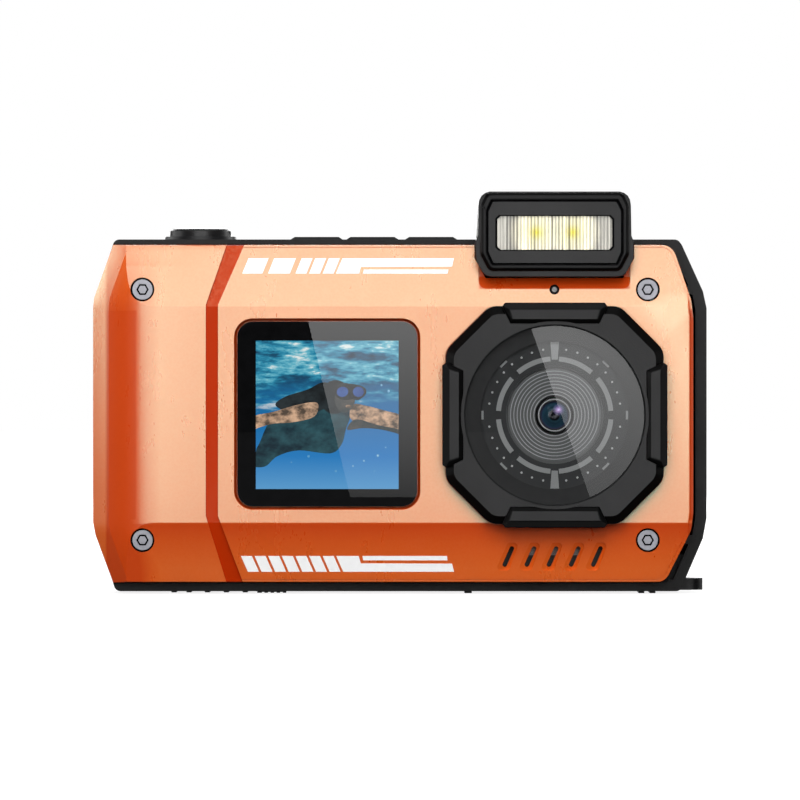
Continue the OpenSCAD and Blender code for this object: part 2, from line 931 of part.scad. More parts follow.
module speaker() {
    color([0.4, 0.4, 0.4])
        union() {
            box(17, 38.6, -8.2, -7.2, 5, 10);
            box(19, 36.6, -7.2, -5.2, 5.2, 9.6);
        }
}

// ---- electronics ----

module main_board() {
    color(green)
        box(-43, 43, 8.9, 9.8, 8, 57);
    color(darkgrey) {
        box(8, 22, 7.3, 8.9, 26, 40);
        box(-2, 6, 7.7, 8.9, 30, 38);
        box(26, 38, 7.5, 8.9, 14, 22);
    }
    color(steel)
        box(10, 34, 6.9, 8.9, 44, 54);
}

module battery() {
    color([0.16, 0.2, 0.3])
        box(bat_x0, bat_x0 + bat_w, bat_y0, bat_y0 + bat_t, bat_z0, bat_z0 + bat_h);
}

module battery_tray() {
    color(black)
        difference() {
            box(well_x0 - 0.5, well_x1 + 0.5, well_y0 - 0.5, well_y1 + 0.5, well_floor, 43);
            box(well_x0, well_x1, well_y0, well_y1, 5, 41.6);
            for (i = [0 : 2])
                box(-37 + i * 6, -34.6 + i * 6, 1, 4, 41, 44);
        }
}

module battery_contacts() {
    color(brass)
        for (i = [0 : 2])
            union() {
                box(-36.8 + i * 6, -34.8 + i * 6, 1.2, 3.8, 38.9, 43.6);
                box(-36.8 + i * 6, -34.8 + i * 6, 1.2, 8.3, 43.1, 43.9);
            }
}

module card_slot() {
    color(steel)
        difference() {
            box(-13, -11, -3.4, 8, 8, 23);
            box(-12.4, -11.5, -3.3, 7.9, 7, 22.6);
        }
}

module memory_card() {
    color([0.1, 0.1, 0.12])
        box(-12.35, -11.55, -3.2, 7.8, 6.2, 21.2);
}

module usb_port() {
    color(steel)
        difference() {
            box(-10.4, -7.1, -2.2, 6.9, 6.2, 14);
            box(-10.05, -7.45, -1.85, 6.55, 5, 13);
        }
    color(black)
        box(-9.1, -8.4, -1, 5.7, 7, 13.5);
}

// ---- battery door ----

module battery_door() {
    color(black)
        difference() {
            union() {
                translate([hinge_x, door_y1, hinge_z])
                    rotate([90, 0, 0])
                        cylinder(h = door_y1 - door_y0, r = knuckle_r);
                box(hinge_x, door_x1, door_y0, door_y1, frame_bottom, door_top);
                // plug that enters the well
                box(well_x0 + 1, well_x1 - 1, well_y0 + 0.8, well_y1 - 0.8, door_top - eps, 4.6);
                // grip ribs
                for (x = [-41.1, -38.4, -35.1, -31.7, -28.3])
                    box(x, x + 0.9, -2, 6.6, 0.12, frame_bottom + eps);
            }
            rod(hinge_x, hinge_z, door_y0 - 1, door_y1 + 1, pin_r + 0.06);
            // guide for the latch, open at the far edge
            box(-27, door_x1 + 1, -1, 5.6, 0.95, 1.85);
            box(-26, -17.6, -0.3, 4.9, 0, 1);
            // groove for the seal
            difference() {
                box(well_x0, well_x1, well_y0, well_y1, 3.3, 4.1);
                box(well_x0 + 1.6, well_x1 - 1.6, well_y0 + 1.4, well_y1 - 1.4, 3, 4.4);
            }
        }
}

module door_hinge_pin() {
    color(steel)
        rod(hinge_x, hinge_z, door_y0 - pin_tail, door_y1 + pin_tail, pin_r);
}

module door_seal() {
    color([0.75, 0.3, 0.1])
        difference() {
            box(well_x0 + 0.2, well_x1 - 0.2, well_y0 + 0.15, well_y1 - 0.15, 3.3, 4.1);
            box(well_x0 + 1.6, well_x1 - 1.6, well_y0 + 1.4, well_y1 - 1.4, 3, 4.4);
        }
}

module door_latch() {
    color([0.3, 0.3, 0.31])
        difference() {
            union() {
                box(-26.8, -14, -0.9, 5.5, 1, 1.75);
                box(-14.5, -6, 0.2, 4.4, 1, 1.75);
                box(-25.7, -20.5, -0.1, 4.7, 0, 1.2);
            }
            for (i = [0 : 3])
                box(-24.9 + i * 1.1, -24.4 + i * 1.1, -1, 6, -0.2, 0.15);
        }
}

// ---- mounts ----

module tripod_socket() {
    color(brass)
        translate([tripod_x, tripod_y, frame_bottom])
            rotate_extrude()
                polygon([[tripod_r, 0], [4.55, 0], [4.55, tripod_len], [tripod_r, tripod_len]]);
}

module strap_lug() {
    color(black)
        difference() {
            union() {
                box(47, 52.3, -1.5, 5.5, 0.54, 2.65);
                post(52.3, 2, 0.54, 2.65, 2.2);
            }
            post(52.3, 2, 0, 4, strap_r);
        }
}

// ---- controls ----

module shutter_button() {
    color([0.1, 0.1, 0.1])
        translate([shutter_x, top_y, 0])
            rotate_extrude()
                polygon([[0, 59.6], [2.3, 59.6], [2.3, 60.5], [1.6, 60.5], [1.6, 63.4],
                    [shutter_r - 0.14, 63.4],
                    [shutter_r - 0.14, 65.1], [shutter_r - 0.5, 65.45], [3.4, shutter_top - 0.04],
                    [1.5, shutter_top], [0, shutter_top]]);
}

module shutter_collar() {
    color(darkgrey)
        translate([shutter_x, top_y, 0])
            rotate_extrude()
                polygon([[1.75, 60.6], [6.05, 60.6], [6.05, deck_z], [6.5, deck_z],
                    [6.4, 64.1], [shutter_r + 0.05, 64.1], [shutter_r + 0.05, 61.6],
                    [1.75, 61.6]]);
}

module shutter_spring() {
    color(steel)
        for (i = [0 : 53])
            hull()
                for (k = [i, i + 1])
                    translate([shutter_x + 2.6 * cos(k * 20), top_y + 2.6 * sin(k * 20),
                        61.82 + k * 0.025])
                        cube([0.3, 0.3, 0.24], center = true);
}

module deck_key(x) {
    color([0.12, 0.12, 0.12])
        union() {
            hull() {
                box(x - key_len / 2, x + key_len / 2, top_y - key_dep / 2,
                    top_y + key_dep / 2, 61.6, 63.6);
                box(x - key_len / 2 + 0.7, x + key_len / 2 - 0.7, top_y - key_dep / 2 + 0.6,
                    top_y + key_dep / 2 - 0.6, 63.6, 64.05);
            }
            box(x - key_len / 2 - 0.3, x + key_len / 2 + 0.3, top_y - key_dep / 2 - 0.5,
                top_y + key_dep / 2 + 0.5, 60.9, 61.4);
            box(x - key_len / 2, x + key_len / 2, top_y - key_dep / 2,
                top_y + key_dep / 2, 61.4, 61.7);
            post(x, top_y, 60.4, 61, 1.1);
        }
}

module power_button() {
    deck_key(key_x[0]);
}

module mode_button() {
    deck_key(key_x[1]);
}

module light_button() {
    deck_key(key_x[2]);
}

module key_switches() {
    color(green) {
        box(-20, 11, -2, 6.6, 57.6, 58.4);
        box(-41, -30.4, -2, 6.6, 55.6, 56.4);
        box(-43.5, -25.5, 11.2, 12, 6.8, 54);
    }
    color(steel) {
        for (x = key_x)
            box(x - 2, x + 2, top_y - 2, top_y + 2, 58.4, 59.9);
        box(shutter_x - 2, shutter_x + 2, top_y - 2, top_y + 2, 56.4, 58.4);
        rod(pad_x, pad_z, 12, 12.8, 1.6);
        for (a = [0 : 90 : 270])
            rod(pad_x + 6.4 * cos(a), pad_z + 6.4 * sin(a), 12, 12.8, 1.3);
        for (z = [10, 51])
            for (i = [-1, 1])
                rod(pad_x + i * key_dx, z, 12, 12.8, 1.5);
    }
}

// ---- rear ----

module rear_glass() {
    color([0.03, 0.03, 0.04])
        slab(15, 16.1)
            translate([rd_x, 32])
                round_rect(rd_w, rd_h, 1.9);
}

module rear_lcd() {
    color([0.08, 0.09, 0.11])
        slab(11.4, 14.95)
            translate([rd_x, 32])
                square([59.4, 45], center = true);
}

module four_way_pad() {
    color([0.14, 0.14, 0.15])
        difference() {
            union() {
                rod(pad_x, pad_z, 14.2, 16.6, pad_r);
                rod(pad_x, pad_z, 13.3, 14.3, pad_r + 0.7);
            }
            rod(pad_x, pad_z, 12, 18, ok_r + key_gap);
            rod(pad_x, pad_z, 12, 14.6, ok_r + 1.15);
            // dished marks at the four directions
            for (a = [0 : 90 : 270])
                rod(pad_x + 6.4 * cos(a), pad_z + 6.4 * sin(a), 16.4, 18, 0.6);
        }
}

module ok_key() {
    color([0.2, 0.2, 0.21])
        union() {
            rod(pad_x, pad_z, 14, 16.9, ok_r);
            rod(pad_x, pad_z, 13.3, 14.1, ok_r + 0.8);
        }
}

module rear_key(i, z) {
    color([0.14, 0.14, 0.15])
        union() {
            slab(14.2, 16.7)
                translate([pad_x + i * key_dx, z])
                    round_rect(8.4, 4.6, 1.8);
            slab(13.3, 14.3)
                translate([pad_x + i * key_dx, z])
                    round_rect(9.4, 5.6, 2);
        }
}

module zoom_in_key() {
    rear_key(-1, 51);
}

module zoom_out_key() {
    rear_key(1, 51);
}

module menu_key() {
    rear_key(-1, 10);
}

module play_key() {
    rear_key(1, 10);
}

front_cover();
grip_cover();
accent_strip();
front_seal();
mid_frame();
rear_seal();
rear_cover();
front_screws();
rear_screws();
front_glass();
front_lcd();
lens_bezel();
bezel_pads();
lens_glass();
dial_ring();
ridged_cone();
lens_barrel();
lens_elements();
lens_holder();
image_sensor();
sensor_board();
flash_housing();
flash_bezel();
flash_panel();
flash_window();
flash_reflector();
flash_leds();
flash_board();
mic_port();
speaker();
main_board();
battery();
battery_tray();
battery_contacts();
card_slot();
memory_card();
usb_port();
battery_door();
door_hinge_pin();
door_seal();
door_latch();
tripod_socket();
strap_lug();
shutter_button();
shutter_collar();
shutter_spring();
power_button();
mode_button();
light_button();
key_switches();
rear_glass();
rear_lcd();
four_way_pad();
ok_key();
zoom_in_key();
zoom_out_key();
menu_key();
play_key();
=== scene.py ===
import math

import bmesh
import bpy
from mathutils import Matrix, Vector


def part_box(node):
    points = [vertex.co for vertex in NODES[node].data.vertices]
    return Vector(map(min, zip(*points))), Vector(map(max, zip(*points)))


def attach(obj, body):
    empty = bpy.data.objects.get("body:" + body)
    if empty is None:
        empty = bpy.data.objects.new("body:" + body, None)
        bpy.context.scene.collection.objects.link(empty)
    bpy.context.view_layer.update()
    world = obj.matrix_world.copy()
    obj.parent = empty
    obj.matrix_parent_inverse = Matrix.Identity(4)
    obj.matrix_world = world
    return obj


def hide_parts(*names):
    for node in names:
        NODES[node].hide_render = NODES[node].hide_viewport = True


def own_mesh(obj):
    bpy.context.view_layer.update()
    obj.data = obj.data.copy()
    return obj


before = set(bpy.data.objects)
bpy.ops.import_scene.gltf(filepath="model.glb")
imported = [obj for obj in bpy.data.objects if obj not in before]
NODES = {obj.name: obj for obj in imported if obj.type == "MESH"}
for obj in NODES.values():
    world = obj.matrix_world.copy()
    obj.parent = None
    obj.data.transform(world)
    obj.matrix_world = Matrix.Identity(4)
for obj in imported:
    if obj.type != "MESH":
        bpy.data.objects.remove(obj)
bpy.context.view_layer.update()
MM = 0.001

# Folded front skin, in mm: heights of its two folds, depth of the flat, height gained per mm of depth.
FOLD_TOP = 51.4
FOLD_BOTTOM = 12.8
FLAT_Y = -12.6
RISE_TOP = 4.037
RISE_BOTTOM = 3.926


def in_mm(box):
    """Both corners of a box in mm."""
    return [corner / MM for corner in box]


def centre(low, high):
    return (low + high) / 2


# ---------------------------------------------------------------- node helpers

class Shader:
    """Small wrapper that keeps node wiring short."""

    def __init__(self, name):
        self.mat = bpy.data.materials.new(name)
        self.mat.use_nodes = True
        self.tree = self.mat.node_tree
        self.tree.nodes.clear()
        self.out = self.add("ShaderNodeOutputMaterial")
        self.coords = self.add("ShaderNodeTexCoord").outputs["Object"]

    def add(self, kind, **inputs):
        node = self.tree.nodes.new(kind)
        for key, value in inputs.items():
            self.set(node, key, value)
        return node

    def set(self, node, key, value):
        socket = node.inputs[key.replace("_", " ")] if isinstance(key, str) else node.inputs[key]
        if isinstance(value, bpy.types.NodeSocket):
            self.tree.links.new(value, socket)
        else:
            socket.default_value = value

    def noise(self, scale, detail=3.0, rough=0.55, stretch=None):
        where = self.coords
        if stretch:
            mapping = self.add("ShaderNodeMapping")
            mapping.inputs["Scale"].default_value = stretch
            self.tree.links.new(self.coords, mapping.inputs["Vector"])
            where = mapping.outputs["Vector"]
        node = self.add("ShaderNodeTexNoise", Vector=where, Scale=scale, Detail=detail, Roughness=rough)
        return node.outputs["Fac"]

    def axes(self, vector=None):
        node = self.add("ShaderNodeSeparateXYZ", Vector=vector or self.coords)
        return node.outputs["X"], node.outputs["Y"], node.outputs["Z"]

    def spots(self, scale):
        return self.add("ShaderNodeTexVoronoi", Vector=self.coords, Scale=scale).outputs["Distance"]

    def ramp(self, value, low, high, start=0.0, end=1.0):
        node = self.add("ShaderNodeMapRange", Value=value)
        node.inputs["From Min"].default_value = start
        node.inputs["From Max"].default_value = end
        node.inputs["To Min"].default_value = low
        node.inputs["To Max"].default_value = high
        return node.outputs["Result"]

    def colours(self, value, *stops):
        node = self.add("ShaderNodeValToRGB", Fac=value)
        elements = node.color_ramp.elements
        while len(elements) < len(stops):
            elements.new(0.5)
        for element, (place, colour) in zip(elements, stops):
            element.position = place
            element.color = (*colour, 1)
        return node.outputs["Color"]

    def blend(self, factor, first, second, kind="MIX"):
        node = self.add("ShaderNodeMix")
        node.data_type = "RGBA"
        node.blend_type = kind
        self.set(node, 0, factor)
        self.set(node, 6, first)
        self.set(node, 7, (*second, 1) if isinstance(second, tuple) else second)
        return node.outputs[2]

    def math(self, op, a, b=None):
        node = self.add("ShaderNodeMath")
        node.operation = op
        self.set(node, 0, a)
        if b is not None:
            self.set(node, 1, b)
        return node.outputs[0]

    def length(self, a, b):
        return self.math("SQRT", self.math("ADD", self.math("MULTIPLY", a, a), self.math("MULTIPLY", b, b)))

    def bump(self, height, strength, distance):
        return self.add("ShaderNodeBump", Height=height, Strength=strength, Distance=distance).outputs[0]

    def layered(self, share, under, over):
        """Two surfaces mixed by share, as the finished material."""
        node = self.add("ShaderNodeMixShader")
        self.set(node, 0, share)
        self.set(node, 1, under.outputs[0])
        self.set(node, 2, over.outputs[0])
        self.tree.links.new(node.outputs[0], self.out.inputs[0])
        return self.mat

    def principled(self, **inputs):
        node = self.add("ShaderNodeBsdfPrincipled", **inputs)
        self.tree.links.new(node.outputs[0], self.out.inputs[0])
        return node


def shade(colour, factor):
    return tuple(min(1.0, c * factor) for c in colour)


# Places on the shell where painted shade lies, in mm: grip edge and curve, floor of the recesses, pocket
# under the fill light.
SHADE_EDGE = -52.9
GRIP_CURVE = (-48.5, -42.8)
RECESS_Y = FLAT_Y + 0.1
POCKET_X = 27.6
POCKET_HALF = 13.2
POCKET_Z = 54.4


def painted_shade_mask(s):
    """Painted shade mask: darker under the lower fold, round the grip curve, in recesses and in the pocket
    under the fill light.
    """
    x, y, z = s.axes()

    def rise(value, low, high):
        return s.ramp(value, 0, 1, low * MM, high * MM)

    def fall(value, low, high):
        return s.ramp(value, 1, 0, low * MM, high * MM)

    fold = s.math("MULTIPLY", rise(z, 4.5, FOLD_BOTTOM - 0.6), fall(z, FOLD_BOTTOM - 0.3, FOLD_BOTTOM + 0.1))
    curve = s.math("MULTIPLY", fall(x, *GRIP_CURVE), s.ramp(z, 1.6, 1.0, 4 * MM, 14 * MM))
    curve = s.math("MULTIPLY", curve, s.ramp(z, 1, 0.25, 49 * MM, 60 * MM))
    flat = s.math("MULTIPLY", rise(z, FOLD_BOTTOM + 0.2, FOLD_BOTTOM + 0.6),
                  fall(z, FOLD_TOP - 0.8, FOLD_TOP - 0.2))
    recess = s.math("MULTIPLY", rise(y, RECESS_Y, RECESS_Y + 0.2), flat)
    across = s.math("ABSOLUTE", s.math("SUBTRACT", x, POCKET_X * MM))
    pocket = s.math("MULTIPLY", rise(z, POCKET_Z, POCKET_Z + 0.3),
                    fall(across, POCKET_HALF, POCKET_HALF + 0.5))
    shaded_part = s.math("MAXIMUM", s.math("MAXIMUM", fold, curve), s.math("MAXIMUM", recess, pocket))
    return s.math("MULTIPLY", shaded_part, rise(x, SHADE_EDGE, SHADE_EDGE + 0.6))


def paint(name, colour, pearl, rough, share, shine=0.5, deep=None):
    """Satin pearl paint: saturated base under fine flake that mirrors softly, orange peel, rub marks. Given
    deep, it also paints shade: the base turns to the deep colour and the sheen fades where the painted shade
    mask lies.
    """
    s = Shader(name)
    flake = s.spots(2100)
    cloud = s.noise(38, 4)
    peel = s.noise(700, 2)
    smear = s.noise(120, 5, 0.7, (1, 1, 0.35))
    tilt = s.bump(s.math("ADD", peel, s.ramp(flake, 0, 0.2)), 0.04, 0.00004)
    tint = s.math("ADD", s.ramp(flake, 0, 0.35, 0, 0.8), s.ramp(cloud, 0.1, 0.6, 0.3, 0.7))
    base = s.colours(tint, (0.1, shade(colour, 0.94)), (0.5, colour), (0.9, shade(colour, 1.05)))
    amount = s.ramp(flake, share - 0.02, share + 0.02, 0, 0.8)
    # Painted shade: base turned darker and sheen faded under the lower fold, round the grip curve, in
    # recesses and under the fill light.
    if deep:
        shaded_part = painted_shade_mask(s)
        base = s.blend(shaded_part, base, deep)
        amount = s.math("MULTIPLY", amount, s.ramp(shaded_part, 1, 0.22))
    under = s.add("ShaderNodeBsdfPrincipled", Base_Color=base, Normal=tilt, Roughness=0.5)
    under.inputs["Specular IOR Level"].default_value = shine
    sheen = s.add("ShaderNodeBsdfGlossy", Color=(*pearl, 1), Normal=tilt,
                  Roughness=s.ramp(smear, rough - 0.02, rough + 0.03, 0.3, 0.7))
    return s.layered(amount, under, sheen)


RUBBED = 1.35


def plastic(name, colour, rough, grain=2600, depth=0.22, spec=0.4, walls=1.0):
    """Moulded plastic with spark-eroded grain, cloudy gloss and slightly rubbed patches.
    Below 1, walls paints shade: it darkens every face but the front-facing ones."""
    s = Shader(name)
    pores = s.spots(grain)
    cloud = s.noise(60, 4)
    rub = s.noise(24, 5, 0.62)
    base = s.colours(rub, (0.25, shade(colour, 0.82)), (0.5, colour), (0.78, shade(colour, RUBBED)))
    # Painted shade: faces turned away from the front are darkened.
    if walls < 1.0:
        facing = s.axes(s.add("ShaderNodeNewGeometry").outputs["Normal"])[1]
        base = s.blend(s.ramp(facing, 0, 1, -0.97, -0.85), base, shade(colour, walls))
    s.principled(
        Base_Color=base,
        Roughness=s.ramp(cloud, rough - 0.07, rough + 0.07, 0.3, 0.7),
        Specular_IOR_Level=spec,
        Normal=s.bump(s.math("ADD", s.ramp(pores, 0, 1, 0, 0.7), s.noise(grain * 0.7, 2)), depth, 0.00003),
    )
    return s.mat


def metal(name, colour, rough, stretch=(1, 1, 1), scale=700, depth=0.2):
    """Worked metal: directional tool marks, tarnish clouds."""
    s = Shader(name)
    lines = s.noise(scale, 4, 0.6, stretch)
    cloud = s.noise(150, 3)
    base = s.colours(cloud, (0.3, shade(colour, 0.78)), (0.6, colour), (0.85, shade(colour, 1.12)))
    s.principled(
        Base_Color=base,
        Metallic=1.0,
        Roughness=s.ramp(lines, rough - 0.08, rough + 0.12, 0.3, 0.7),
        Normal=s.bump(lines, depth, 0.00002),
    )
    return s.mat


def clear(name, tint, rough=0.0, ior=1.5, haze=0.0, blur=0.006):
    """Sheet glass: lets light straight through, mirrors by angle, faint wipe marks."""
    s = Shader(name)
    smear = s.noise(90, 5, 0.7, (1, 1, 0.4))
    see = s.add("ShaderNodeBsdfTransparent", Color=(*tint, 1))
    gloss = s.add("ShaderNodeBsdfGlossy", Roughness=s.ramp(smear, rough, rough + blur, 0.45, 0.75))
    fresnel = s.add("ShaderNodeFresnel", IOR=ior)
    outside = s.ramp(s.add("ShaderNodeNewGeometry").outputs["Backfacing"], 1, 0)
    amount = s.math("ADD", fresnel.outputs[0], s.ramp(smear, 0, haze + 0.003, 0.5, 0.8))
    amount = s.math("MULTIPLY", amount, outside)
    return s.layered(amount, see, gloss)


def board(name):
    """Circuit board: green mask over fine copper tracks, glossy lacquer."""
    s = Shader(name)
    tracks = s.add("ShaderNodeTexVoronoi", Vector=s.coords, Scale=420.0)
    tracks.distance = "MANHATTAN"
    lines = s.ramp(tracks.outputs["Distance"], 0, 1, 0.28, 0.34)
    base = s.colours(lines, (0, (0.01, 0.09, 0.045)), (0.6, (0.015, 0.15, 0.07)), (1, (0.03, 0.22, 0.1)))
    s.principled(Base_Color=base, Roughness=s.ramp(s.noise(80), 0.28, 0.42, 0.3, 0.7),
                 Normal=s.bump(lines, 0.3, 0.00004))
    return s.mat


ORANGE = (0.90, 0.125, 0.0006)
PEARL = (0.38, 0.64, 0.48)
# Colour of the painted shade on the orange shell.
PAINTED_SHADE = (0.56, 0.050, 0.0003)
mats = {
    "orange": paint("orange_shell", ORANGE, PEARL, 0.28, 0.30, 0.2, PAINTED_SHADE),
    # The groove strip is a real part; its darker red-orange base is painted shade of the step between grip
    # and panel.
    "accent": paint("accent_gloss", (0.43, 0.025, 0.0004), (1.0, 0.55, 0.3), 0.10, 0.02, 0.04),
    # walls below 1 paints shade on the sides of the lens bezel, the pads and the flash bezel.
    "bezel": plastic("bezel_black", (0.0235, 0.0235, 0.024), 0.40, spec=0.12, walls=0.06),
    "pads": plastic("pad_black", (0.0225, 0.0225, 0.023), 0.38, 3200, 0.18, spec=0.12, walls=0.09),
    "rim": plastic("rim_black", (0.0095, 0.0095, 0.010), 0.34, 3000, 0.2, spec=0.12, walls=0.1),
    "black": plastic("black_housing", (0.0055, 0.0055, 0.006), 0.40, spec=0.28),
    "dark": plastic("dark_trim", (0.0065, 0.0065, 0.007), 0.38, 3200, 0.18, spec=0.28),
    "back": plastic("back_plastic", (0.013, 0.013, 0.0135), 0.42, 2600, 0.25, spec=0.4),
    "frame": plastic("frame_black", (0.0036, 0.0036, 0.0038), 0.36, 3000, 0.2, spec=0.18),
    "deck": plastic("frame_plastic", (0.0045, 0.0045, 0.005), 0.38, 3000, 0.2, spec=0.28),
    "key": plastic("key_plastic", (0.007, 0.007, 0.0074), 0.34, 4200, 0.12, spec=0.4),
    "rubber": plastic("rubber", (0.008, 0.008, 0.008), 0.72, 1500, 0.35, 0.25),
    "seal": plastic("seal_silicone", (0.50, 0.09, 0.02), 0.5, 1200, 0.25),
    "steel": metal("screw_steel", (0.25, 0.25, 0.275), 0.34, (1, 1, 1), 1800, 0.3),
    "sheet": metal("pressed_steel", (0.5, 0.5, 0.52), 0.3, (1, 1, 12), 500),
    "brass": metal("turned_brass", (0.72, 0.5, 0.19), 0.26, (1, 1, 18), 900),
    "chrome": metal("bright_reflector", (0.86, 0.86, 0.84), 0.12, (1, 1, 1), 300, 0.1),
    "glass": clear("cover_glass", (0.99, 1.0, 1.0), 0.0, 2.2),
    "window": clear("light_window", (0.98, 0.97, 0.93), 0.05, 1.55, 0.04, 0.03),
    "board": board("circuit_board"),
    "battery": plastic("battery_wrap", (0.03, 0.045, 0.09), 0.38, 700, 0.15),
    "cone": plastic("cone_grey", (0.045, 0.045, 0.046), 0.36, 2000, 0.1, 0.4),
    "dial": plastic("dial_grey", (0.018, 0.018, 0.019), 0.5, 3600, 0.12, 0.2),
}

LOOKS = {
    "orange": "front_cover grip_cover",
    "accent": "accent_strip",
    "frame": "mid_frame",
    "deck": "strap_lug battery_door",
    "back": "rear_cover",
    "bezel": "lens_bezel",
    "pads": "bezel_pads",
    "rim": "flash_bezel",
    "black": "flash_housing lens_holder battery_tray",
    "dark": "flash_panel shutter_collar door_latch memory_card speaker",
    "key": "shutter_button power_button mode_button light_button four_way_pad ok_key "
           "zoom_in_key zoom_out_key menu_key play_key",
    "rubber": "front_seal rear_seal mic_port",
    "seal": "door_seal",
    "steel": "front_screws rear_screws",
    "sheet": "shutter_spring card_slot usb_port door_hinge_pin",
    "brass": "tripod_socket battery_contacts",
    "chrome": "flash_reflector",
    "glass": "front_glass lens_glass rear_glass",
    "window": "flash_window",
    "board": "sensor_board flash_board main_board key_switches",
    "battery": "battery",
    "cone": "ridged_cone",
    "dial": "dial_ring lens_barrel",
}


def dress(node, material):
    data = NODES[node].data
    data.materials.clear()
    data.materials.append(material)


for look, names in LOOKS.items():
    for node in names.split():
        dress(node, mats[look])


def screen_off(name):
    """Dark screen with a fine grid of pixels."""
    s = Shader(name)
    grid = s.spots(5200)
    s.principled(Base_Color=s.colours(grid, (0, (0.004, 0.005, 0.006)), (1, (0.012, 0.013, 0.016))),
                 Roughness=s.ramp(s.noise(70), 0.18, 0.3, 0.3, 0.7), Normal=s.bump(grid, 0.1, 0.00001))
    return s.mat


LENS_R = 2.65
# Size and place of the painted highlight on the lens, in mm.
PAINTED_GLINT_R = 1.1
PAINTED_GLINT_PLACE = (0.75, 0.95)


def coated_lens(name):
    """Front lens element: black pupil, teal body, violet rim and one violet glint painted into the colour as
    a highlight.
    """
    s = Shader(name)
    low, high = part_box("lens_elements")
    x, _, z = s.axes()
    dx = s.math("SUBTRACT", x, (low.x + high.x) / 2)
    dz = s.math("SUBTRACT", z, (low.z + high.z) / 2)
    base = s.colours(s.ramp(s.length(dx, dz), 0, 1, 0, LENS_R * MM),
                     (0.0, (0.001, 0.001, 0.002)), (0.34, (0.002, 0.004, 0.006)),
                     (0.42, (0.012, 0.045, 0.055)), (0.55, (0.008, 0.030, 0.040)),
                     (0.8, (0.015, 0.05, 0.07)), (1.0, (0.06, 0.05, 0.11)))
    # Painted highlight: violet glint added to the base colour at a fixed spot.
    gx = s.math("SUBTRACT", dx, PAINTED_GLINT_PLACE[0] * MM)
    gz = s.math("SUBTRACT", dz, PAINTED_GLINT_PLACE[1] * MM)
    painted_glint = s.colours(s.ramp(s.length(gx, gz), 0, 1, 0, PAINTED_GLINT_R * MM),
                      (0.0, (0.85, 0.80, 0.95)), (0.25, (0.42, 0.26, 0.50)),
                      (0.6, (0.10, 0.08, 0.16)), (1.0, (0.0, 0.0, 0.0)))
    s.principled(
        Base_Color=s.blend(1.0, base, painted_glint, "ADD"),
        Roughness=s.ramp(s.noise(300), 0.02, 0.06, 0.3, 0.7),
        Metallic=0.0,
        Specular_IOR_Level=0.15,
        Coat_Weight=0.4,
        Coat_Roughness=0.02,
        Coat_IOR=1.4,
        Coat_Tint=(0.8, 0.62, 1.0, 1.0),
    )
    return s.mat


def led_phosphor(name):
    """Yellow phosphor of the light chips, faintly lit."""
    s = Shader(name)
    grain = s.noise(5000, 2)
    s.principled(Base_Color=s.colours(grain, (0.3, (0.80, 0.55, 0.04)), (0.7, (0.95, 0.78, 0.10))),
                 Roughness=s.ramp(grain, 0.4, 0.6, 0.3, 0.7), Emission_Color=(1.0, 0.82, 0.2, 1),
                 Emission_Strength=0.9, Normal=s.bump(grain, 0.3, 0.00002))
    return s.mat


for node in ("front_lcd", "rear_lcd", "image_sensor"):
    dress(node, screen_off("screen_" + node))
dress("lens_elements", coated_lens("coated_lens"))
dress("flash_leds", led_phosphor("led_phosphor"))


# ---------------------------------------------------------------- softened edges

WELD_GAP = 0.002
SHARP_ANGLE = 28
SMOOTH_ANGLE = 12.5


def soften(node, width):
    """Small true radius on the moulded edges of a CAD node."""
    piece = NODES[node]
    weld = piece.modifiers.new("weld", "WELD")
    weld.merge_threshold = WELD_GAP * MM
    bevel = piece.modifiers.new("edge_radius", "BEVEL")
    bevel.width = width * MM
    bevel.segments = 2
    bevel.limit_method = "ANGLE"
    bevel.angle_limit = math.radians(SHARP_ANGLE)
    bevel.use_clamp_overlap = True
    bevel.harden_normals = False
    bevel.miter_outer = "MITER_ARC"


def smooth_tree(angle):
    """Geometry nodes that shade smoothly over edges flatter than angle (degrees)."""
    tree = bpy.data.node_groups.new("smooth_by_angle", "GeometryNodeTree")
    for way in ("INPUT", "OUTPUT"):
        tree.interface.new_socket("Geometry", in_out=way, socket_type="NodeSocketGeometry")
    enter = tree.nodes.new("NodeGroupInput")
    leave = tree.nodes.new("NodeGroupOutput")
    faces = tree.nodes.new("GeometryNodeSetShadeSmooth")
    edges = tree.nodes.new("GeometryNodeSetShadeSmooth")
    edges.domain = "EDGE"
    edges.inputs["Shade Smooth"].default_value = False
    bend = tree.nodes.new("GeometryNodeInputMeshEdgeAngle")
    sharp = tree.nodes.new("FunctionNodeCompare")
    sharp.operation = "GREATER_THAN"
    sharp.inputs[1].default_value = math.radians(angle)
    tree.links.new(bend.outputs["Unsigned Angle"], sharp.inputs[0])
    tree.links.new(enter.outputs[0], faces.inputs["Geometry"])
    tree.links.new(faces.outputs[0], edges.inputs["Geometry"])
    tree.links.new(sharp.outputs[0], edges.inputs["Selection"])
    tree.links.new(edges.outputs[0], leave.inputs[0])
    return tree


SMOOTH = smooth_tree(SMOOTH_ANGLE)


def smooth_band(node):
    modifier = NODES[node].modifiers.new("smooth_by_angle", "NODES")
    modifier.node_group = SMOOTH


for node, width in (("front_cover", 0.22), ("grip_cover", 0.22), ("lens_bezel", 0.3),
                    ("bezel_pads", 0.18), ("flash_bezel", 0.14), ("flash_housing", 0.3),
                    ("mid_frame", 0.2), ("rear_cover", 0.3)):
    soften(node, width)
for node in ("front_cover", "grip_cover"):
    smooth_band(node)


# ---------------------------------------------------------------- mesh helpers

def new_piece(name, material):
    mesh = bpy.data.meshes.new(name)
    piece = bpy.data.objects.new(name, mesh)
    bpy.context.scene.collection.objects.link(piece)
    mesh.materials.append(material)
    return piece, mesh


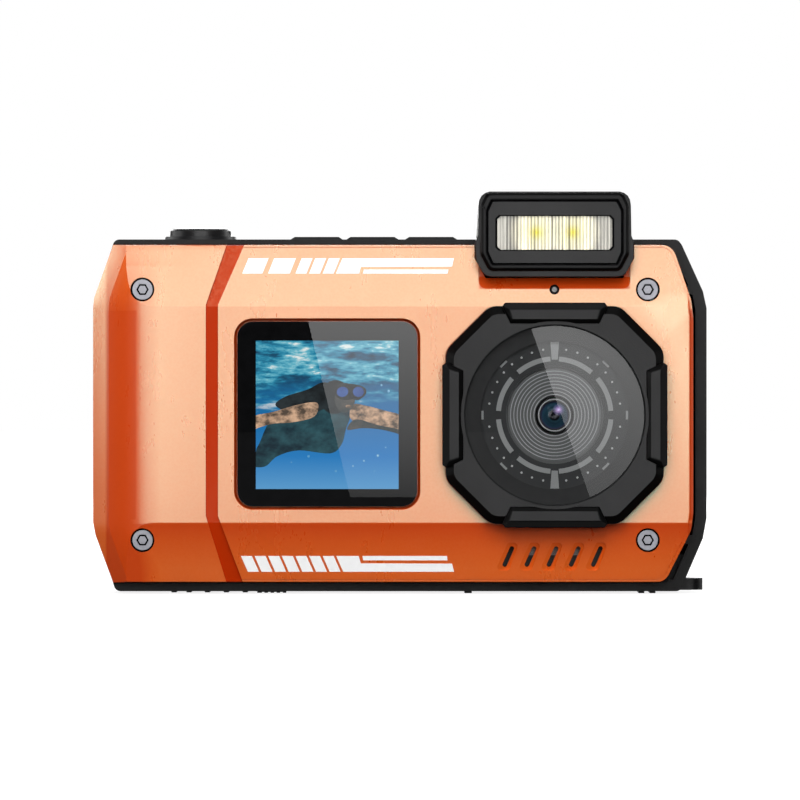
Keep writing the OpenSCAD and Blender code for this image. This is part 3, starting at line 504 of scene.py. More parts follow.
def add_slab(bm, points, push):
    """Flat face through the points, thickened by push; both in mm."""
    face = bm.faces.new([bm.verts.new([c * MM for c in point]) for point in points])
    moved = bmesh.ops.extrude_face_region(bm, geom=[face])
    verts = [v for v in moved["geom"] if isinstance(v, bmesh.types.BMVert)]
    bmesh.ops.translate(bm, verts=verts, vec=[c * MM for c in push])


def close_mesh(bm, mesh):
    bmesh.ops.recalc_face_normals(bm, faces=bm.faces)
    bm.to_mesh(mesh)
    bm.free()


def plate(name, outlines, depth, thick, material):
    """Flat outlines given in x and z (mm), lying at y = depth, thick towards the back."""
    piece, mesh = new_piece(name, material)
    bm = bmesh.new()
    for outline in outlines:
        add_slab(bm, [(x, depth, z) for x, z in outline], (0, thick, 0))
    close_mesh(bm, mesh)
    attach(piece, "camera_body")


def ring_sector(cx, cz, r0, r1, a0, a1, steps):
    """Part of a flat ring between radii r0, r1 and angles a0, a1."""
    turns = [(a0 + (a1 - a0) * i / steps) for i in range(steps + 1)]
    points = [(cx + r1 * math.cos(a), cz + r1 * math.sin(a)) for a in turns]
    points += [(cx + r0 * math.cos(a), cz + r0 * math.sin(a)) for a in reversed(turns)]
    return points


def full_ring(cx, cz, r0, r1, steps):
    """Whole flat ring as two half rings."""
    return [ring_sector(cx, cz, r0, r1, a, a + math.pi, steps) for a in (0, math.pi)]


# ---------------------------------------------------------------- front graphics

def smooth(points, steps=6):
    """Closed Catmull-Rom curve through a few points."""
    count = len(points)
    curve = []
    for k in range(count):
        p0, p1, p2, p3 = (points[(k + d) % count] for d in (-1, 0, 1, 2))
        for i in range(steps):
            t = i / steps
            curve.append(tuple(
                0.5 * (2 * b + (c - a) * t + (2 * a - 5 * b + 4 * c - d) * t * t
                       + (3 * b - a - 3 * c + d) * t ** 3)
                for a, b, c, d in zip(p0, p1, p2, p3)))
    return curve


def ink(name, colour, shine=0.5):
    """Screen-printed ink: slightly uneven film with pinholes."""
    s = Shader(name)
    film = s.noise(900, 4)
    holes = s.spots(7000)
    s.principled(
        Base_Color=s.colours(film, (0.3, shade(colour, 0.96)), (0.7, colour)),
        Roughness=s.ramp(film, 0.42, 0.6, 0.3, 0.7),
        Specular_IOR_Level=shine,
        Normal=s.bump(holes, 0.15, 0.00001),
    )
    return s.mat


INK_LIFT = 0.03


def facet_y(z):
    """Depth of the shell skin at height z (mm)."""
    if z > FOLD_TOP:
        return FLAT_Y + (z - FOLD_TOP) / RISE_TOP
    if z < FOLD_BOTTOM:
        return FLAT_Y + (FOLD_BOTTOM - z) / RISE_BOTTOM
    return FLAT_Y


def print_on_shell(name, outlines, material):
    """Thin printed shapes that follow the folded skin."""
    piece, mesh = new_piece(name, material)
    bm = bmesh.new()
    for outline in outlines:
        add_slab(bm, [(x, facet_y(z) - INK_LIFT, z) for x, z in outline], (0, INK_LIFT * 0.8, 0))
    close_mesh(bm, mesh)
    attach(piece, "camera_body")


def slanted(x, z0, z1, width, lean):
    """Bar whose upper edge is shifted by lean."""
    return [(x, z0), (x + width, z0), (x + width + lean, z1), (x + lean, z1)]


BAR_PITCH = 2.436
BAR_W = 1.97


def upper_graphics():
    """White bars and line of the upper print."""
    low, high, lean = 57.3, 60.06, 1.1
    bars = [slanted(-18.7 + n * BAR_PITCH, low, high, BAR_W, lean) for n in range(3)]
    bars += [slanted(-28.2, low, high, 3.6, lean), slanted(-23.6, low, high, 3.9, lean)]
    bars.append([(-11.46, low), (-7.3, low), (-7.0, 58.5), (9.3, 58.55), (9.65, high), (-10.3, high)])
    bars.append(slanted(-6.6, low, 58.03, 15.1, 0.15))
    print_on_shell("print_upper", bars, mats["white_ink"])


def lower_graphics():
    """White bars and line of the lower print."""
    low, high, lean = 3.98, 6.82, -1.24
    bars = [slanted(-27.2 + n * BAR_PITCH, low, high, BAR_W, lean) for n in range(7)]
    bars.append([(-10.15, low), (9.65, low), (9.3, 5.45), (-7.0, 5.5), (-7.4, high), (-11.4, high)])
    bars.append(slanted(-6.6, 6.03, high, 15.1, -0.1))
    print_on_shell("print_lower", bars, mats["white_ink"])


mats["white_ink"] = ink("white_ink", (0.97, 0.97, 0.97), 0.3)
upper_graphics()
lower_graphics()


# ---------------------------------------------------------------- front display picture

glass_low, glass_high = in_mm(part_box("front_glass"))
GLASS = centre(glass_low, glass_high)
SHOW_X = GLASS.x
SHOW_Z = GLASS.z - 0.15
SHOW_W = 25.5
SHOW_H = 26.5
SHOW_Y = glass_low.y + 0.08
LAYER_STEP = 0.004
LAYER_THICK = 0.003


def lit(s, colour, strength):
    """A lit screen: picture colour as emission over a dark panel."""
    s.principled(Base_Color=(0.01, 0.01, 0.01, 1), Roughness=0.5, Specular_IOR_Level=0.0,
                 Emission_Color=colour, Emission_Strength=strength)
    return s.mat


def sea_picture():
    """Water seen from below the surface: bright ripples above, clear blue beneath."""
    s = Shader("picture_sea")
    height = s.ramp(s.axes()[2], 0, 1, (SHOW_Z - SHOW_H / 2) * MM, (SHOW_Z + SHOW_H / 2) * MM)
    deep = s.colours(height, (0, (0.11, 0.37, 0.70)), (0.22, (0.015, 0.22, 0.58)),
                     (0.5, (0.0, 0.16, 0.42)), (1, (0.004, 0.12, 0.22)))
    swell = s.noise(95, 5, 0.62, (1, 1, 4.2))
    fine = s.noise(420, 4, 0.6, (1, 1, 3.0))
    wave = s.math("ADD", s.math("MULTIPLY", swell, 0.75), s.math("MULTIPLY", fine, 0.35))
    ripple = s.colours(s.ramp(wave, 0, 1, 0.40, 0.68),
                       (0.0, (0.001, 0.02, 0.05)), (0.30, (0.003, 0.10, 0.20)), (0.55, (0.02, 0.28, 0.45)),
                       (0.8, (0.16, 0.55, 0.68)), (1, (0.90, 0.95, 0.92)))
    edge = s.math("ADD", height, s.math("MULTIPLY", s.math("SUBTRACT", swell, 0.5), 0.5))
    return lit(s, s.blend(s.ramp(edge, 0, 1, 0.56, 0.72), deep, ripple), 0.95)


def dappled(name, dark, light, scale=330, start=0.42, end=0.62):
    """Picture colour broken by wavering light under water."""
    s = Shader(name)
    spots = s.noise(scale, 4, 0.65, (1, 1, 1.4))
    return lit(s, s.colours(s.ramp(spots, 0, 1, start, end), (0, dark), (1, light)), 0.9)


def on_show(points):
    """Picture coordinates (0..1 across and up) to mm on the screen."""
    return [(SHOW_X + (u - 0.5) * SHOW_W, SHOW_Z + (v - 0.5) * SHOW_H) for u, v in points]


def clipped(points):
    return [(min(max(u, 0.0), 1.0), min(max(v, 0.0), 1.0)) for u, v in points]


def layer(name, points, level, material, rounded=True):
    """One flat shape of the picture; higher levels lie nearer the viewer."""
    outline = clipped(smooth(points) if rounded else points)
    plate(name, [on_show(outline)], SHOW_Y - level * LAYER_STEP, LAYER_THICK, material)


def ellipse(u, v, ru, rv, tilt=0.0, steps=20):
    c, t = math.cos(tilt), math.sin(tilt)
    turns = [2 * math.pi * i / steps for i in range(steps)]
    reach = [(ru * math.cos(a), rv * math.sin(a)) for a in turns]
    return [(u + p * c - q * t, v + p * t + q * c) for p, q in reach]


def make_picture():
    water = [(0, 0), (1, 0), (1, 1), (0, 1)]
    layer("picture_water", water, 0, sea_picture(), rounded=False)
    cloth = dappled("picture_suit", (0.003, 0.022, 0.036), (0.03, 0.115, 0.14), 260, 0.38, 0.72)
    skin = dappled("picture_skin", (0.10, 0.07, 0.05), (0.80, 0.50, 0.32))
    shadow = dappled("picture_shadow", (0.02, 0.035, 0.04), (0.09, 0.08, 0.07), 200)
    hair = dappled("picture_hair", (0.003, 0.006, 0.008), (0.02, 0.03, 0.035), 260)
    strap = dappled("picture_mask", (0.006, 0.008, 0.010), (0.035, 0.04, 0.045), 300)
    tint = dappled("picture_mask_glass", (0.02, 0.07, 0.28), (0.05, 0.13, 0.42), 200)
    layer("picture_body", [(-0.05, 0.17), (0.06, 0.15), (0.15, 0.22), (0.3, 0.26), (0.52, 0.24), (0.6, 0.3),
                           (0.63, 0.4), (0.66, 0.52), (0.55, 0.62), (0.36, 0.6), (0.12, 0.48), (0.02, 0.3)],
          1, cloth)
    layer("picture_back", [(0.14, 0.56), (0.2, 0.62), (0.36, 0.67), (0.48, 0.72), (0.6, 0.66), (0.5, 0.55),
                           (0.3, 0.5)], 2, hair)
    layer("picture_arm_left", [(-0.06, 0.40), (0.12, 0.44), (0.26, 0.45), (0.41, 0.49), (0.43, 0.58),
                               (0.3, 0.57), (0.12, 0.52), (-0.06, 0.48)], 3, skin)
    layer("picture_arm_right", [(0.66, 0.48), (0.74, 0.43), (0.86, 0.41), (1.06, 0.37), (1.06, 0.48),
                                (0.9, 0.53), (0.78, 0.56), (0.68, 0.57)], 3, skin)
    layer("picture_underarm", [(0.64, 0.40), (0.75, 0.41), (0.88, 0.40), (1.06, 0.36), (1.06, 0.39),
                               (0.86, 0.43), (0.7, 0.47)], 4, shadow)
    layer("picture_head", ellipse(0.555, 0.62, 0.105, 0.115, -0.25), 5, hair)
    layer("picture_face", ellipse(0.625, 0.615, 0.072, 0.10, -0.08), 6, shadow)
    layer("picture_lips", ellipse(0.65, 0.557, 0.022, 0.010, -0.05), 7, skin)
    layer("picture_mask_frame", [(0.545, 0.68), (0.6, 0.71), (0.7, 0.705), (0.765, 0.68), (0.77, 0.64),
                                 (0.72, 0.6), (0.68, 0.605), (0.62, 0.6), (0.56, 0.625)], 8, strap)
    layer("picture_mask_left", ellipse(0.607, 0.655, 0.040, 0.034, 0.15), 9, tint)
    layer("picture_mask_right", ellipse(0.718, 0.655, 0.038, 0.034, -0.1), 9, tint)
    sparkle = dappled("picture_bubble", (0.10, 0.38, 0.68), (0.40, 0.68, 0.85), 900)
    places = ((0.68, 0.155), (0.757, 0.19), (0.855, 0.225), (0.91, 0.28), (0.56, 0.12), (0.37, 0.22),
              (0.25, 0.18), (0.88, 0.7), (0.93, 0.66), (0.83, 0.12))
    for k, (u, v) in enumerate(places):
        radius = 0.005 + 0.002 * (k % 3)
        layer(f"picture_bubble_{k}", ellipse(u, v, radius, radius, 0, 10), 2, sparkle, rounded=False)


def rounded_frame(w, h, r, steps=8):
    """Rectangle with round corners about the origin."""
    corners = ((1, 1, 0), (-1, 1, 90), (-1, -1, 180), (1, -1, 270))
    points = []
    for sx, sz, start in corners:
        for i in range(steps + 1):
            a = math.radians(start + 90 * i / steps)
            points.append((sx * (w / 2 - r) + r * math.cos(a), sz * (h / 2 - r) + r * math.sin(a)))
    return points


FILM_THICK = 0.01
MASK_INSET = 0.03
FRONT_PRINT = (32.1, 33.0, 2.75)
REAR_PRINT = (63.9, 47.9, 1.85)
REAR_SHOW = (57.6, 43.2)


def window_mask(name, middle, size, hole, y):
    """Black print round a screen, on the inside of its glass; size is width, height, corner radius."""
    piece, mesh = new_piece(name, mats["mask"])
    bm = bmesh.new()
    outer = rounded_frame(*size)
    hx, hz, hw, hh = hole
    steps = len(outer) // 4
    signs = ((1, 1), (-1, 1), (-1, -1), (1, -1))
    inner_corners = [(hx + sx * hw / 2, hz + sz * hh / 2) for sx, sz in signs]
    ring = [bm.verts.new(((middle.x + x) * MM, y * MM, (middle.z + z) * MM)) for x, z in outer]
    hub = [bm.verts.new((x * MM, y * MM, z * MM)) for x, z in inner_corners]
    for k in range(4):
        corner = ring[k * steps:(k + 1) * steps]
        for a, b in zip(corner, corner[1:]):
            bm.faces.new((a, b, hub[k]))
        following = ring[((k + 1) * steps) % len(ring)]
        bm.faces.new((corner[-1], following, hub[(k + 1) % 4], hub[k]))
    close_mesh(bm, mesh)
    film = piece.modifiers.new("film", "SOLIDIFY")
    film.thickness = FILM_THICK * MM
    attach(piece, "camera_body")


def black_print(name):
    """Black print on the inside of a glass; the same black also stands as painted shadow round the screws
    and the fill light.
    """
    s = Shader(name)
    film = s.noise(500, 3)
    s.principled(Base_Color=s.colours(film, (0.3, (0.0015, 0.0015, 0.0018)), (0.7, (0.003, 0.003, 0.0035))),
                 Roughness=s.ramp(film, 0.35, 0.5, 0.3, 0.7), Specular_IOR_Level=0.0)
    return s.mat


# Black print, also used for the painted shadows.
mats["mask"] = black_print("black_print_and_painted_shadow")
make_picture()
window_mask("front_window_mask", GLASS, FRONT_PRINT, (SHOW_X, SHOW_Z, SHOW_W, SHOW_H),
            glass_low.y + MASK_INSET)
rear_low, rear_high = in_mm(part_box("rear_glass"))
REAR = centre(rear_low, rear_high)
window_mask("rear_window_mask", REAR, REAR_PRINT, (REAR.x, REAR.z, *REAR_SHOW), rear_high.y - MASK_INSET)


# ---------------------------------------------------------------- lens face print

lens_low, lens_high = in_mm(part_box("lens_glass"))
LENS_X = centre(lens_low, lens_high).x
LENS_Z = centre(lens_low, lens_high).z
DIAL_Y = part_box("dial_ring")[0].y / MM
PRINT = 0.02
DIAL_PARTS = 8
ARC_R = (9.6, 10.48)
PIP_R = 11.84
TICK_R = (12.7, 13.1)
MASK_R = (13.22, 16.1)
RIDGES = 8
RIDGE_R = 7.8
RIDGE_STEP = 0.6
RIDGE_RISE = 0.36
RIDGE_W = 0.15


def lens_print():
    """Dial arcs, pips and ticks behind the lens glass, and the black ring printed on the glass."""
    grey = ink("dial_print", (0.21, 0.21, 0.21), 0.3)
    bright = ink("dial_marks", (0.34, 0.34, 0.34), 0.3)
    arcs = []
    for k in range(DIAL_PARTS):
        start = math.radians(45 * k + 4.3)
        arcs.append(ring_sector(LENS_X, LENS_Z, *ARC_R, start, start + math.radians(36.4), 12))
    plate("dial_arcs", arcs, DIAL_Y - PRINT, PRINT, grey)
    pips = []
    for k in range(36):
        a = math.radians(10 * k)
        if k % 9:
            pips.append(ellipse(LENS_X + PIP_R * math.cos(a), LENS_Z + PIP_R * math.sin(a), 0.2, 0.2, 0, 10))
    plate("dial_pips", pips, DIAL_Y - PRINT, PRINT, bright)
    ticks = []
    for k in range(DIAL_PARTS):
        a = math.radians(45 * k)
        if k not in (2, 6):
            ticks.append(ring_sector(LENS_X, LENS_Z, *TICK_R, a - 0.06, a + 0.06, 4))
    for sign in (1, -1):
        inner, outer = LENS_Z + sign * 9.9, LENS_Z + sign * TICK_R[1]
        ticks.append([(LENS_X - 0.55, inner), (LENS_X + 0.55, inner),
                      (LENS_X + 0.78, outer), (LENS_X - 0.78, outer)])
    plate("dial_ticks", ticks, DIAL_Y - 0.03, PRINT, grey)
    mask = full_ring(LENS_X, LENS_Z, *MASK_R, 48)
    plate("lens_glass_mask", mask, lens_high.y - 0.06, PRINT, ink("mask_ring", (0.012, 0.012, 0.0125), 0.15))


lens_print()


def edge_ring(name, r0, r1, y, material):
    plate(name, full_ring(LENS_X, LENS_Z, r0, r1, 40), y - 0.012, 0.01, material)


def painted_edge_highlights():
    """Painted highlights: lighter metal rings on each ridge of the cone and on the lip of the barrel, where
    the turned edges catch the light.
    """
    # Lighter metal rings as painted highlights on the real ridges and the barrel lip.
    rim = metal("painted_edge_highlight", (0.26, 0.26, 0.27), 0.42, (1, 1, 1), 2600, 0.3)
    cone_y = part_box("ridged_cone")[0].y / MM + 0.15
    for k in range(RIDGES):
        r = RIDGE_R - RIDGE_STEP * k
        edge_ring(f"cone_ridge_highlight_{k}", r, r + RIDGE_W, cone_y + RIDGE_RISE * k, rim)
    edge_ring("barrel_lip_highlight", 2.74, 2.93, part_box("lens_barrel")[0].y / MM, rim)


painted_edge_highlights()


# ---------------------------------------------------------------- small front details

# Sizes and depths of the screw heads, the painted shadow rings and the sockets, in mm.
HEAD_R = 1.8
SHADOW_RING_R = (1.81, 2.13)
SOCKET_R = 1.1
PIN_R = 0.78
SCREW_SINK = 0.12
SOCKET_SINK = 0.45


def hexagon(cx, cz, r):
    return [(cx + r * math.cos(math.pi * k / 3), cz + r * math.sin(math.pi * k / 3)) for k in range(6)]


def screw_faces(node, face, inward):
    """Painted shadow: a dark ring in the gap round each head and a dark hexagon round the pin in its hexagon
    socket.
    """
    low, high = in_mm(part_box(node))
    rings, shadows, pins = [], [], []
    for cx in (low.x + HEAD_R, high.x - HEAD_R):
        for cz in (low.z + HEAD_R, high.z - HEAD_R):
            rings += full_ring(cx, cz, *SHADOW_RING_R, 16)
            shadows.append(hexagon(cx, cz, SOCKET_R))
            pins.append(hexagon(cx, cz, PIN_R))
    edge = low.y if face == "front" else high.y
    # Dark sheets as painted shadow in the gap round each head and in each socket.
    plate(node + "_shadow_rings", rings, edge + SCREW_SINK * inward, 0.3 * inward, mats["mask"])
    plate(node + "_socket_shadows", shadows, edge + SOCKET_SINK * inward, 0.05 * inward, mats["mask"])
    plate(node + "_pins", pins, edge + SCREW_SINK * inward, 0.3 * inward, mats["steel"])


screw_faces("front_screws", "front", 1)
screw_faces("rear_screws", "back", -1)


def mesh_cloth(name):
    """Fine woven metal cloth behind an opening."""
    s = Shader(name)
    wires = s.add("ShaderNodeTexWave", Vector=s.coords, Scale=900.0)
    weave = s.spots(5200)
    s.principled(Base_Color=s.colours(weave, (0.0, (0.03, 0.03, 0.03)), (0.5, (0.24, 0.24, 0.24))),
                 Metallic=0.4, Roughness=s.ramp(wires.outputs["Fac"], 0.4, 0.6),
                 Normal=s.bump(weave, 0.4, 0.00003))
    return s.mat


mats["cloth"] = mesh_cloth("mesh_cloth")
mic_low, mic_high = in_mm(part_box("mic_port"))
MIC = centre(mic_low, mic_high)
plate("mic_mesh", [ellipse(MIC.x, MIC.z, 0.45, 0.45)], mic_low.y - 0.03, 0.02, mats["cloth"])
speaker_low, speaker_high = in_mm(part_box("speaker"))
CLOTH_X = (22.0, 32.6)
CLOTH_Z = (6.9, speaker_high.z - 0.2)
plate("speaker_mesh", [[(CLOTH_X[0], CLOTH_Z[0]), (CLOTH_X[1], CLOTH_Z[0]), (CLOTH_X[1], CLOTH_Z[1]),
                        (CLOTH_X[0], CLOTH_Z[1])]], speaker_low.y - 0.1, 0.06, mats["cloth"])


# ---------------------------------------------------------------- fill light front

FLUTE_PITCH = 0.62
WARM_REACH = 5.2
CHIP_INSET = 0.8
WINDOW_CUT = 0.6
OUTLINE = 0.012


def light_streaks():
    """Ribbed diffuser: vertical flutes, warm where the two chips shine through."""
    s = Shader("light_diffuser")
    x, _, z = s.axes()
    ribs = s.noise(1500, 2, 0.5, (1, 0.02, 0.03))
    flute = s.ramp(s.math("SINE", s.math("MULTIPLY", x, 2 * math.pi / (FLUTE_PITCH * MM))), 0, 1, -1, 1)
    low, high = in_mm(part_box("flash_leds"))
    chips = centre(low, high)
    gap = (high.x - low.x) / 2 - CHIP_INSET
    side = s.math("ABSOLUTE", s.math("SUBTRACT", x, chips.x * MM))
    dx = s.math("MULTIPLY", s.math("SUBTRACT", side, gap * MM), 1 / (WARM_REACH * MM))
    dz = s.math("MULTIPLY", s.math("SUBTRACT", z, chips.z * MM), 1 / (WARM_REACH * MM))
    warm = s.colours(s.length(dx, dz),
                     (0.0, (1.0, 0.88, 0.10)), (0.12, (1.0, 0.90, 0.32)), (0.30, (1.0, 0.95, 0.66)),
                     (0.75, (1.0, 0.96, 0.82)), (1.0, (0.55, 0.54, 0.52)))
    tone = s.math("ADD", s.math("MULTIPLY", ribs, 0.9), s.math("MULTIPLY", flute, 0.3))
    light = s.blend(1.0, warm, s.ramp(tone, 0.22, 1.05, 0.35, 0.8), "MULTIPLY")
    s.principled(
        Base_Color=light,
        Roughness=0.25,
        Coat_Weight=0.6,
        Coat_Roughness=0.1,
        Emission_Color=light,
        Emission_Strength=0.5,
        Normal=s.bump(flute, 0.8, 0.0002),
    )
    return s.mat


def outline_ring(inner, cx, cz, wide, tall):
    """Narrow band round a closed outline, that much larger across and up about the centre."""
    outer = [(cx + (x - cx) * wide, cz + (z - cz) * tall) for x, z in inner]
    return [[outer[k - 1], outer[k], inner[k], inner[k - 1]] for k in range(len(inner))]


def fill_light_front():
    """Ribbed diffuser behind the window, and a dark line round the window as painted shadow of the gap
    between window and panel.
    """
    low, high = in_mm(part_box("flash_window"))
    cx, cz = centre(low, high).x, centre(low, high).z
    w, h = (high.x - low.x) / 2 - 0.05, (high.z - low.z) / 2 - 0.05
    corners = []
    for sx, sz in ((-1, -1), (1, -1), (1, 1), (-1, 1)):
        ends = [(cx + sx * w, cz + sz * (h - WINDOW_CUT)), (cx + sx * (w - WINDOW_CUT), cz + sz * h)]
        corners += ends if sx == sz else reversed(ends)
    plate("light_diffuser", [corners], low.y + 0.35, 0.3, light_streaks())
    panel_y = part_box("flash_panel")[0].y / MM
    ring = outline_ring(corners, cx, cz, 1.035, 1.06)
    # Painted shadow: dark ring round the window where the gap to the panel lies.
    plate("window_gap_shadow", ring, panel_y - OUTLINE, OUTLINE, mats["mask"])


def panel_gap_shadow():
    """Painted shadow: dark sheet in the gap round the panel of the fill light."""
    low, high = in_mm(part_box("flash_panel"))
    inner = [(low.x + 0.9, low.z), (high.x - 0.9, low.z), (high.x, low.z + 2.0), (high.x, high.z - 1.7),
             (high.x - 0.8, high.z), (low.x + 0.8, high.z), (low.x, high.z - 1.7), (low.x, low.z + 2.0)]
    middle = centre(low, high)
    ring = outline_ring(inner, middle.x, middle.z, 1.03, 1.06)
    plate("panel_gap_shadow", ring, low.y + 0.45, 0.2, mats["mask"])


fill_light_front()
panel_gap_shadow()


# ---------------------------------------------------------------- shutter spring

COIL_TURNS = 3
COIL_STEPS = 18
WIRE_R = 0.12
WIRE_SIDES = 8


def shutter_coil():
    """Wire coil under the shutter button."""
    low, high = in_mm(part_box("shutter_spring"))
    cx, cy = centre(low, high).x, centre(low, high).y
    radius = (high.x - low.x) / 2 - 0.15
    rise = high.z - low.z - 2 * WIRE_R
    piece, mesh = new_piece("coil_spring", mats["sheet"])
    bm = bmesh.new()
    rings = []
    for k in range(COIL_TURNS * COIL_STEPS + 1):
        turn = 2 * math.pi * k / COIL_STEPS
        height = low.z + WIRE_R + rise * k / (COIL_TURNS * COIL_STEPS)
        ring = []
        for side in range(WIRE_SIDES):
            t = 2 * math.pi * side / WIRE_SIDES
            reach = radius + WIRE_R * math.cos(t)
            place = (cx + reach * math.cos(turn), cy + reach * math.sin(turn), height + WIRE_R * math.sin(t))
            ring.append(bm.verts.new([c * MM for c in place]))
        rings.append(ring)
    for first, second in zip(rings, rings[1:]):
        for side in range(WIRE_SIDES):
            bm.faces.new((first[side - 1], first[side], second[side], second[side - 1]))
    bm.faces.new(rings[0])
    bm.faces.new(rings[-1])
    close_mesh(bm, mesh)
    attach(piece, "camera_body")
    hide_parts("shutter_spring")
    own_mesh(piece)


shutter_coil()


# ---------------------------------------------------------------- key symbols

LINE_W = 0.28
SYMBOL_LIFT = 0.01


def key_symbol(name, outlines, node, face):
    """Printed symbol on a key; face is 'back' for the rear keys and 'top' for the deck keys."""
    low, high = in_mm(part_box(node))
    middle = centre(low, high)
    piece, mesh = new_piece(name, mats["symbol"])
    bm = bmesh.new()
    for outline in outlines:
        if face == "back":
            points = [(middle.x - u, high.y + SYMBOL_LIFT, middle.z + v) for u, v in outline]
            add_slab(bm, points, (0, -SYMBOL_LIFT * 0.9, 0))
        else:
            points = [(middle.x + u, middle.y + v, high.z + SYMBOL_LIFT) for u, v in outline]
            add_slab(bm, points, (0, 0, -SYMBOL_LIFT * 0.9))
    close_mesh(bm, mesh)
    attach(piece, node)


def stroke(x0, y0, x1, y1):
    """Straight line of a symbol."""
    dx, dy = x1 - x0, y1 - y0
    n = math.hypot(dx, dy)
    ox, oy = -dy / n * LINE_W / 2, dx / n * LINE_W / 2
    return [(x0 + ox, y0 + oy), (x0 - ox, y0 - oy), (x1 - ox, y1 - oy), (x1 + ox, y1 + oy)]


def arc(r, a0, a1):
    """Round line of a symbol, between two angles in degrees."""
    return ring_sector(0, 0, r - LINE_W / 2, r + LINE_W / 2, math.radians(a0), math.radians(a1), 16)


mats["symbol"] = ink("symbol_print", (0.62, 0.62, 0.62))
key_symbol("symbol_play", [[(-0.7, -0.8), (0.9, 0), (-0.7, 0.8)]], "play_key", "back")
key_symbol("symbol_menu", [stroke(-1, k * 0.65, 1, k * 0.65) for k in (-1, 0, 1)], "menu_key", "back")
key_symbol("symbol_zoom_in", [stroke(-0.9, 0, 0.9, 0), stroke(0, 0.15, 0, 0.9), stroke(0, -0.9, 0, -0.15)],
           "zoom_in_key", "back")
key_symbol("symbol_zoom_out", [stroke(-0.9, 0, 0.9, 0)], "zoom_out_key", "back")
key_symbol("symbol_confirm", [arc(1.1, 0, 180), arc(1.1, 180, 360)], "ok_key", "back")
key_symbol("symbol_power", [arc(0.9, 120, 420), stroke(0, 0.45, 0, 1.2)], "power_button", "top")
dot = [(-0.25, -0.25), (0.25, -0.25), (0.25, 0.25), (-0.25, 0.25)]
key_symbol("symbol_mode", [arc(0.9, 0, 180), arc(0.9, 180, 360), dot], "mode_button", "top")
key_symbol("symbol_light", [[(0.1, 1.2), (-0.7, -0.1), (0.0, -0.1)], [(-0.1, -1.2), (0.7, 0.1), (0.0, 0.1)]],
           "light_button", "top")


# ---------------------------------------------------------------- stage

EYE_PLACE = (0.0, -1.6, 0.0347)
FLOOR_R = 8.0
LIGHT_AIM = Vector((0, 0, 0.034))


def camera_only(tree, seen, other):
    """One shader for what the camera sees, another for light that bounces."""
    path = tree.nodes.new("ShaderNodeLightPath")
    mix = tree.nodes.new("ShaderNodeMixShader")
    tree.links.new(path.outputs["Is Camera Ray"], mix.inputs[0])
    tree.links.new(other, mix.inputs[1])
    tree.links.new(seen, mix.inputs[2])
    return mix.outputs[0]


def floor_material():
    """Pale floor: soft shadow near the object, even white further out."""
    s = Shader("pale_floor")
    tone = s.noise(3.0, 2)
    x, y, _ = s.axes()
    away = s.length(x, y)
    far = s.ramp(away, 0, 1, 0.12, 0.6)
    pale = s.colours(tone, (0.3, (0.30, 0.30, 0.30)), (0.7, (0.32, 0.32, 0.32)))
    diffuse = s.add("ShaderNodeBsdfDiffuse", Color=pale)
    glow = s.add("ShaderNodeEmission", Color=(1, 1, 1, 1), Strength=s.ramp(far, 0.82, 1.02))
    both = s.add("ShaderNodeAddShader")
    s.set(both, 0, diffuse.outputs[0])
    s.set(both, 1, glow.outputs[0])
    ahead = s.math("DIVIDE", y, away)
    lane = s.ramp(ahead, 1, 0, -0.985, -0.90)
    ring = s.math("MULTIPLY", s.ramp(away, 0, 1, 0.16, 0.40), s.ramp(away, 1, 0, 0.70, 0.85))
    pool = s.math("MULTIPLY", ring, lane)
    table = s.add("ShaderNodeEmission", Color=(1, 1, 1, 1), Strength=s.ramp(pool, 0.04, 3.4))
    s.tree.links.new(camera_only(s.tree, both.outputs[0], table.outputs[0]), s.out.inputs[0])
    s.mat.cycles.emission_sampling = "NONE"
    return s.mat


def make_floor():
    """Round studio floor under the camera."""
    piece, mesh = new_piece("floor", floor_material())
    bm = bmesh.new()
    bmesh.ops.create_circle(bm, cap_ends=True, radius=FLOOR_R, segments=96)
    bm.to_mesh(mesh)
    bm.free()


def area(name, place, width, height, radiance, reach="all"):
    """Softbox given by the radiance of its face; reach "fill" keeps it out of reflections."""
    light = bpy.data.lights.new(name, "AREA")
    light.shape = "RECTANGLE"
    light.size = width
    light.size_y = height
    light.energy = radiance * math.pi * width * height
    lamp = bpy.data.objects.new(name, light)
    bpy.context.scene.collection.objects.link(lamp)
    lamp.location = place
    lamp.rotation_euler = (LIGHT_AIM - Vector(place)).to_track_quat("-Z", "Y").to_euler()
    lamp.visible_camera = False
    lamp.visible_glossy = reach != "fill"


def make_world():
    """Dim studio walls, a little brighter overhead; the camera sees plain white."""
    world = bpy.data.worlds.new("studio")
    bpy.context.scene.world = world
    world.use_nodes = True
    tree = world.node_tree
    tree.nodes.clear()
    out = tree.nodes.new("ShaderNodeOutputWorld")
    seen = tree.nodes.new("ShaderNodeBackground")
    seen.inputs["Color"].default_value = (1, 1, 1, 1)
    room = tree.nodes.new("ShaderNodeBackground")
    where = tree.nodes.new("ShaderNodeTexCoord")
    split = tree.nodes.new("ShaderNodeSeparateXYZ")
    tree.links.new(where.outputs["Generated"], split.inputs[0])
    up = tree.nodes.new("ShaderNodeMapRange")
    tree.links.new(split.outputs["Z"], up.inputs["Value"])
    up.inputs["From Min"].default_value = 0.3
    up.inputs["From Max"].default_value = 1.0
    up.inputs["To Min"].default_value = 0.02
    up.inputs["To Max"].default_value = 0.22
    tree.links.new(up.outputs[0], room.inputs["Strength"])
    tree.links.new(camera_only(tree, seen.outputs[0], room.outputs[0]), out.inputs[0])


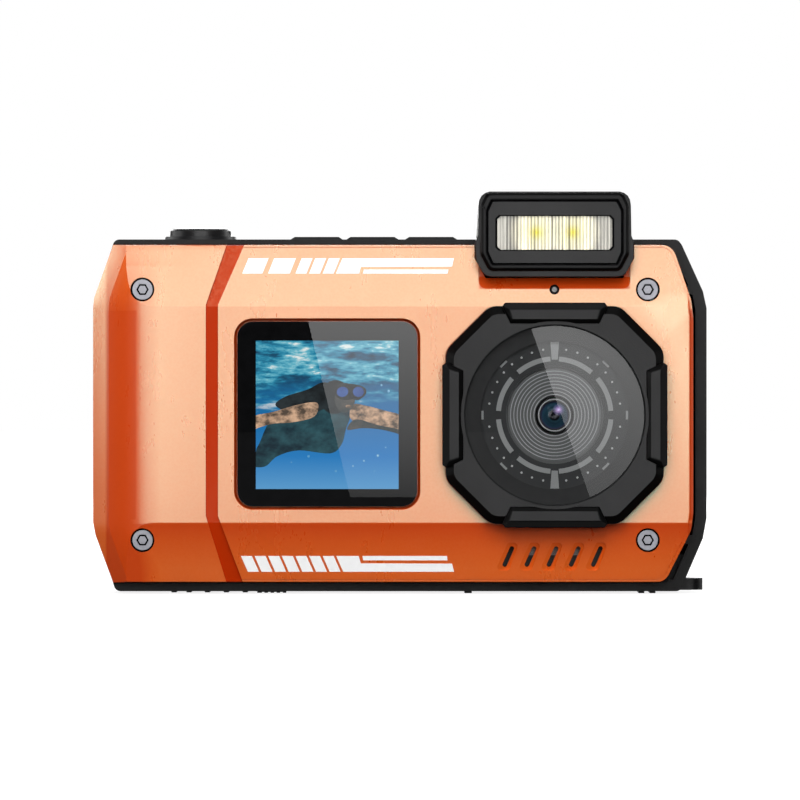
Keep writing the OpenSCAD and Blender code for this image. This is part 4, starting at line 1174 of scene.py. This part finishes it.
make_floor()
make_world()
area("key_front", (0.0, -1.45, 0.56), 1.30, 0.62, 3.7)
area("front_left", (-0.33, -1.5, 0.13), 0.36, 0.28, 5.4)
area("front_right", (0.33, -1.5, 0.13), 0.36, 0.28, 5.4)
area("side_left", (-1.3, -0.1, 0.22), 0.5, 0.6, 2.8)
area("side_right", (1.3, 0.1, 0.25), 0.4, 0.6, 0.7)
area("overhead", (0.0, 0.0, 1.4), 1.3, 0.7, 0.7)
area("back_key", (0.0, 1.45, 0.60), 1.20, 0.55, 7.5)
area("back_left", (-0.42, 1.5, 0.14), 0.40, 0.26, 9.0)
area("back_right", (0.42, 1.5, 0.14), 0.40, 0.26, 9.0)
area("flank_left", (-1.25, 0.6, 0.40), 0.6, 0.6, 5.0)
area("flank_right", (1.25, 0.6, 0.40), 0.6, 0.6, 5.0)
area("fill_high", (0.0, -1.15, 0.95), 1.2, 0.7, 5.6, reach="fill")
area("fill_low", (0.0, -1.4, 0.15), 1.2, 0.3, 1.7, reach="fill")


def card(name, corners, low, high):
    """Small lit card in the plane of the camera, seen only in reflections: brighter towards its top."""
    s = Shader(name + "_light")
    heights = [z * MM for _, z in corners]
    strength = s.ramp(s.axes()[2], low, high, min(heights), max(heights))
    glow = s.add("ShaderNodeEmission", Color=(1, 1, 1, 1), Strength=strength)
    s.tree.links.new(glow.outputs[0], s.out.inputs[0])
    piece, mesh = new_piece(name, s.mat)
    bm = bmesh.new()
    bm.faces.new([bm.verts.new((x * MM, EYE_PLACE[1], z * MM)) for x, z in corners])
    bm.to_mesh(mesh)
    bm.free()
    for kind in ("camera", "diffuse", "shadow"):
        setattr(piece, "visible_" + kind, False)


card("glare_display", [(-36, 76), (-13, -20), (14, -20), (14, 76)], 0.0, 1.4)
card("glare_lens", [(42, 74), (76, -24), (96, -24), (96, 74)], 0.27, 1.28)

camera = bpy.data.cameras.new("camera")
camera.lens = 400
camera.sensor_width = 36
camera.clip_start = 0.05
eye = bpy.data.objects.new("camera", camera)
bpy.context.scene.collection.objects.link(eye)
eye.location = EYE_PLACE
eye.rotation_euler = (math.radians(90), 0, 0)
bpy.context.scene.camera = eye
bpy.context.scene.view_settings.view_transform = "Standard"
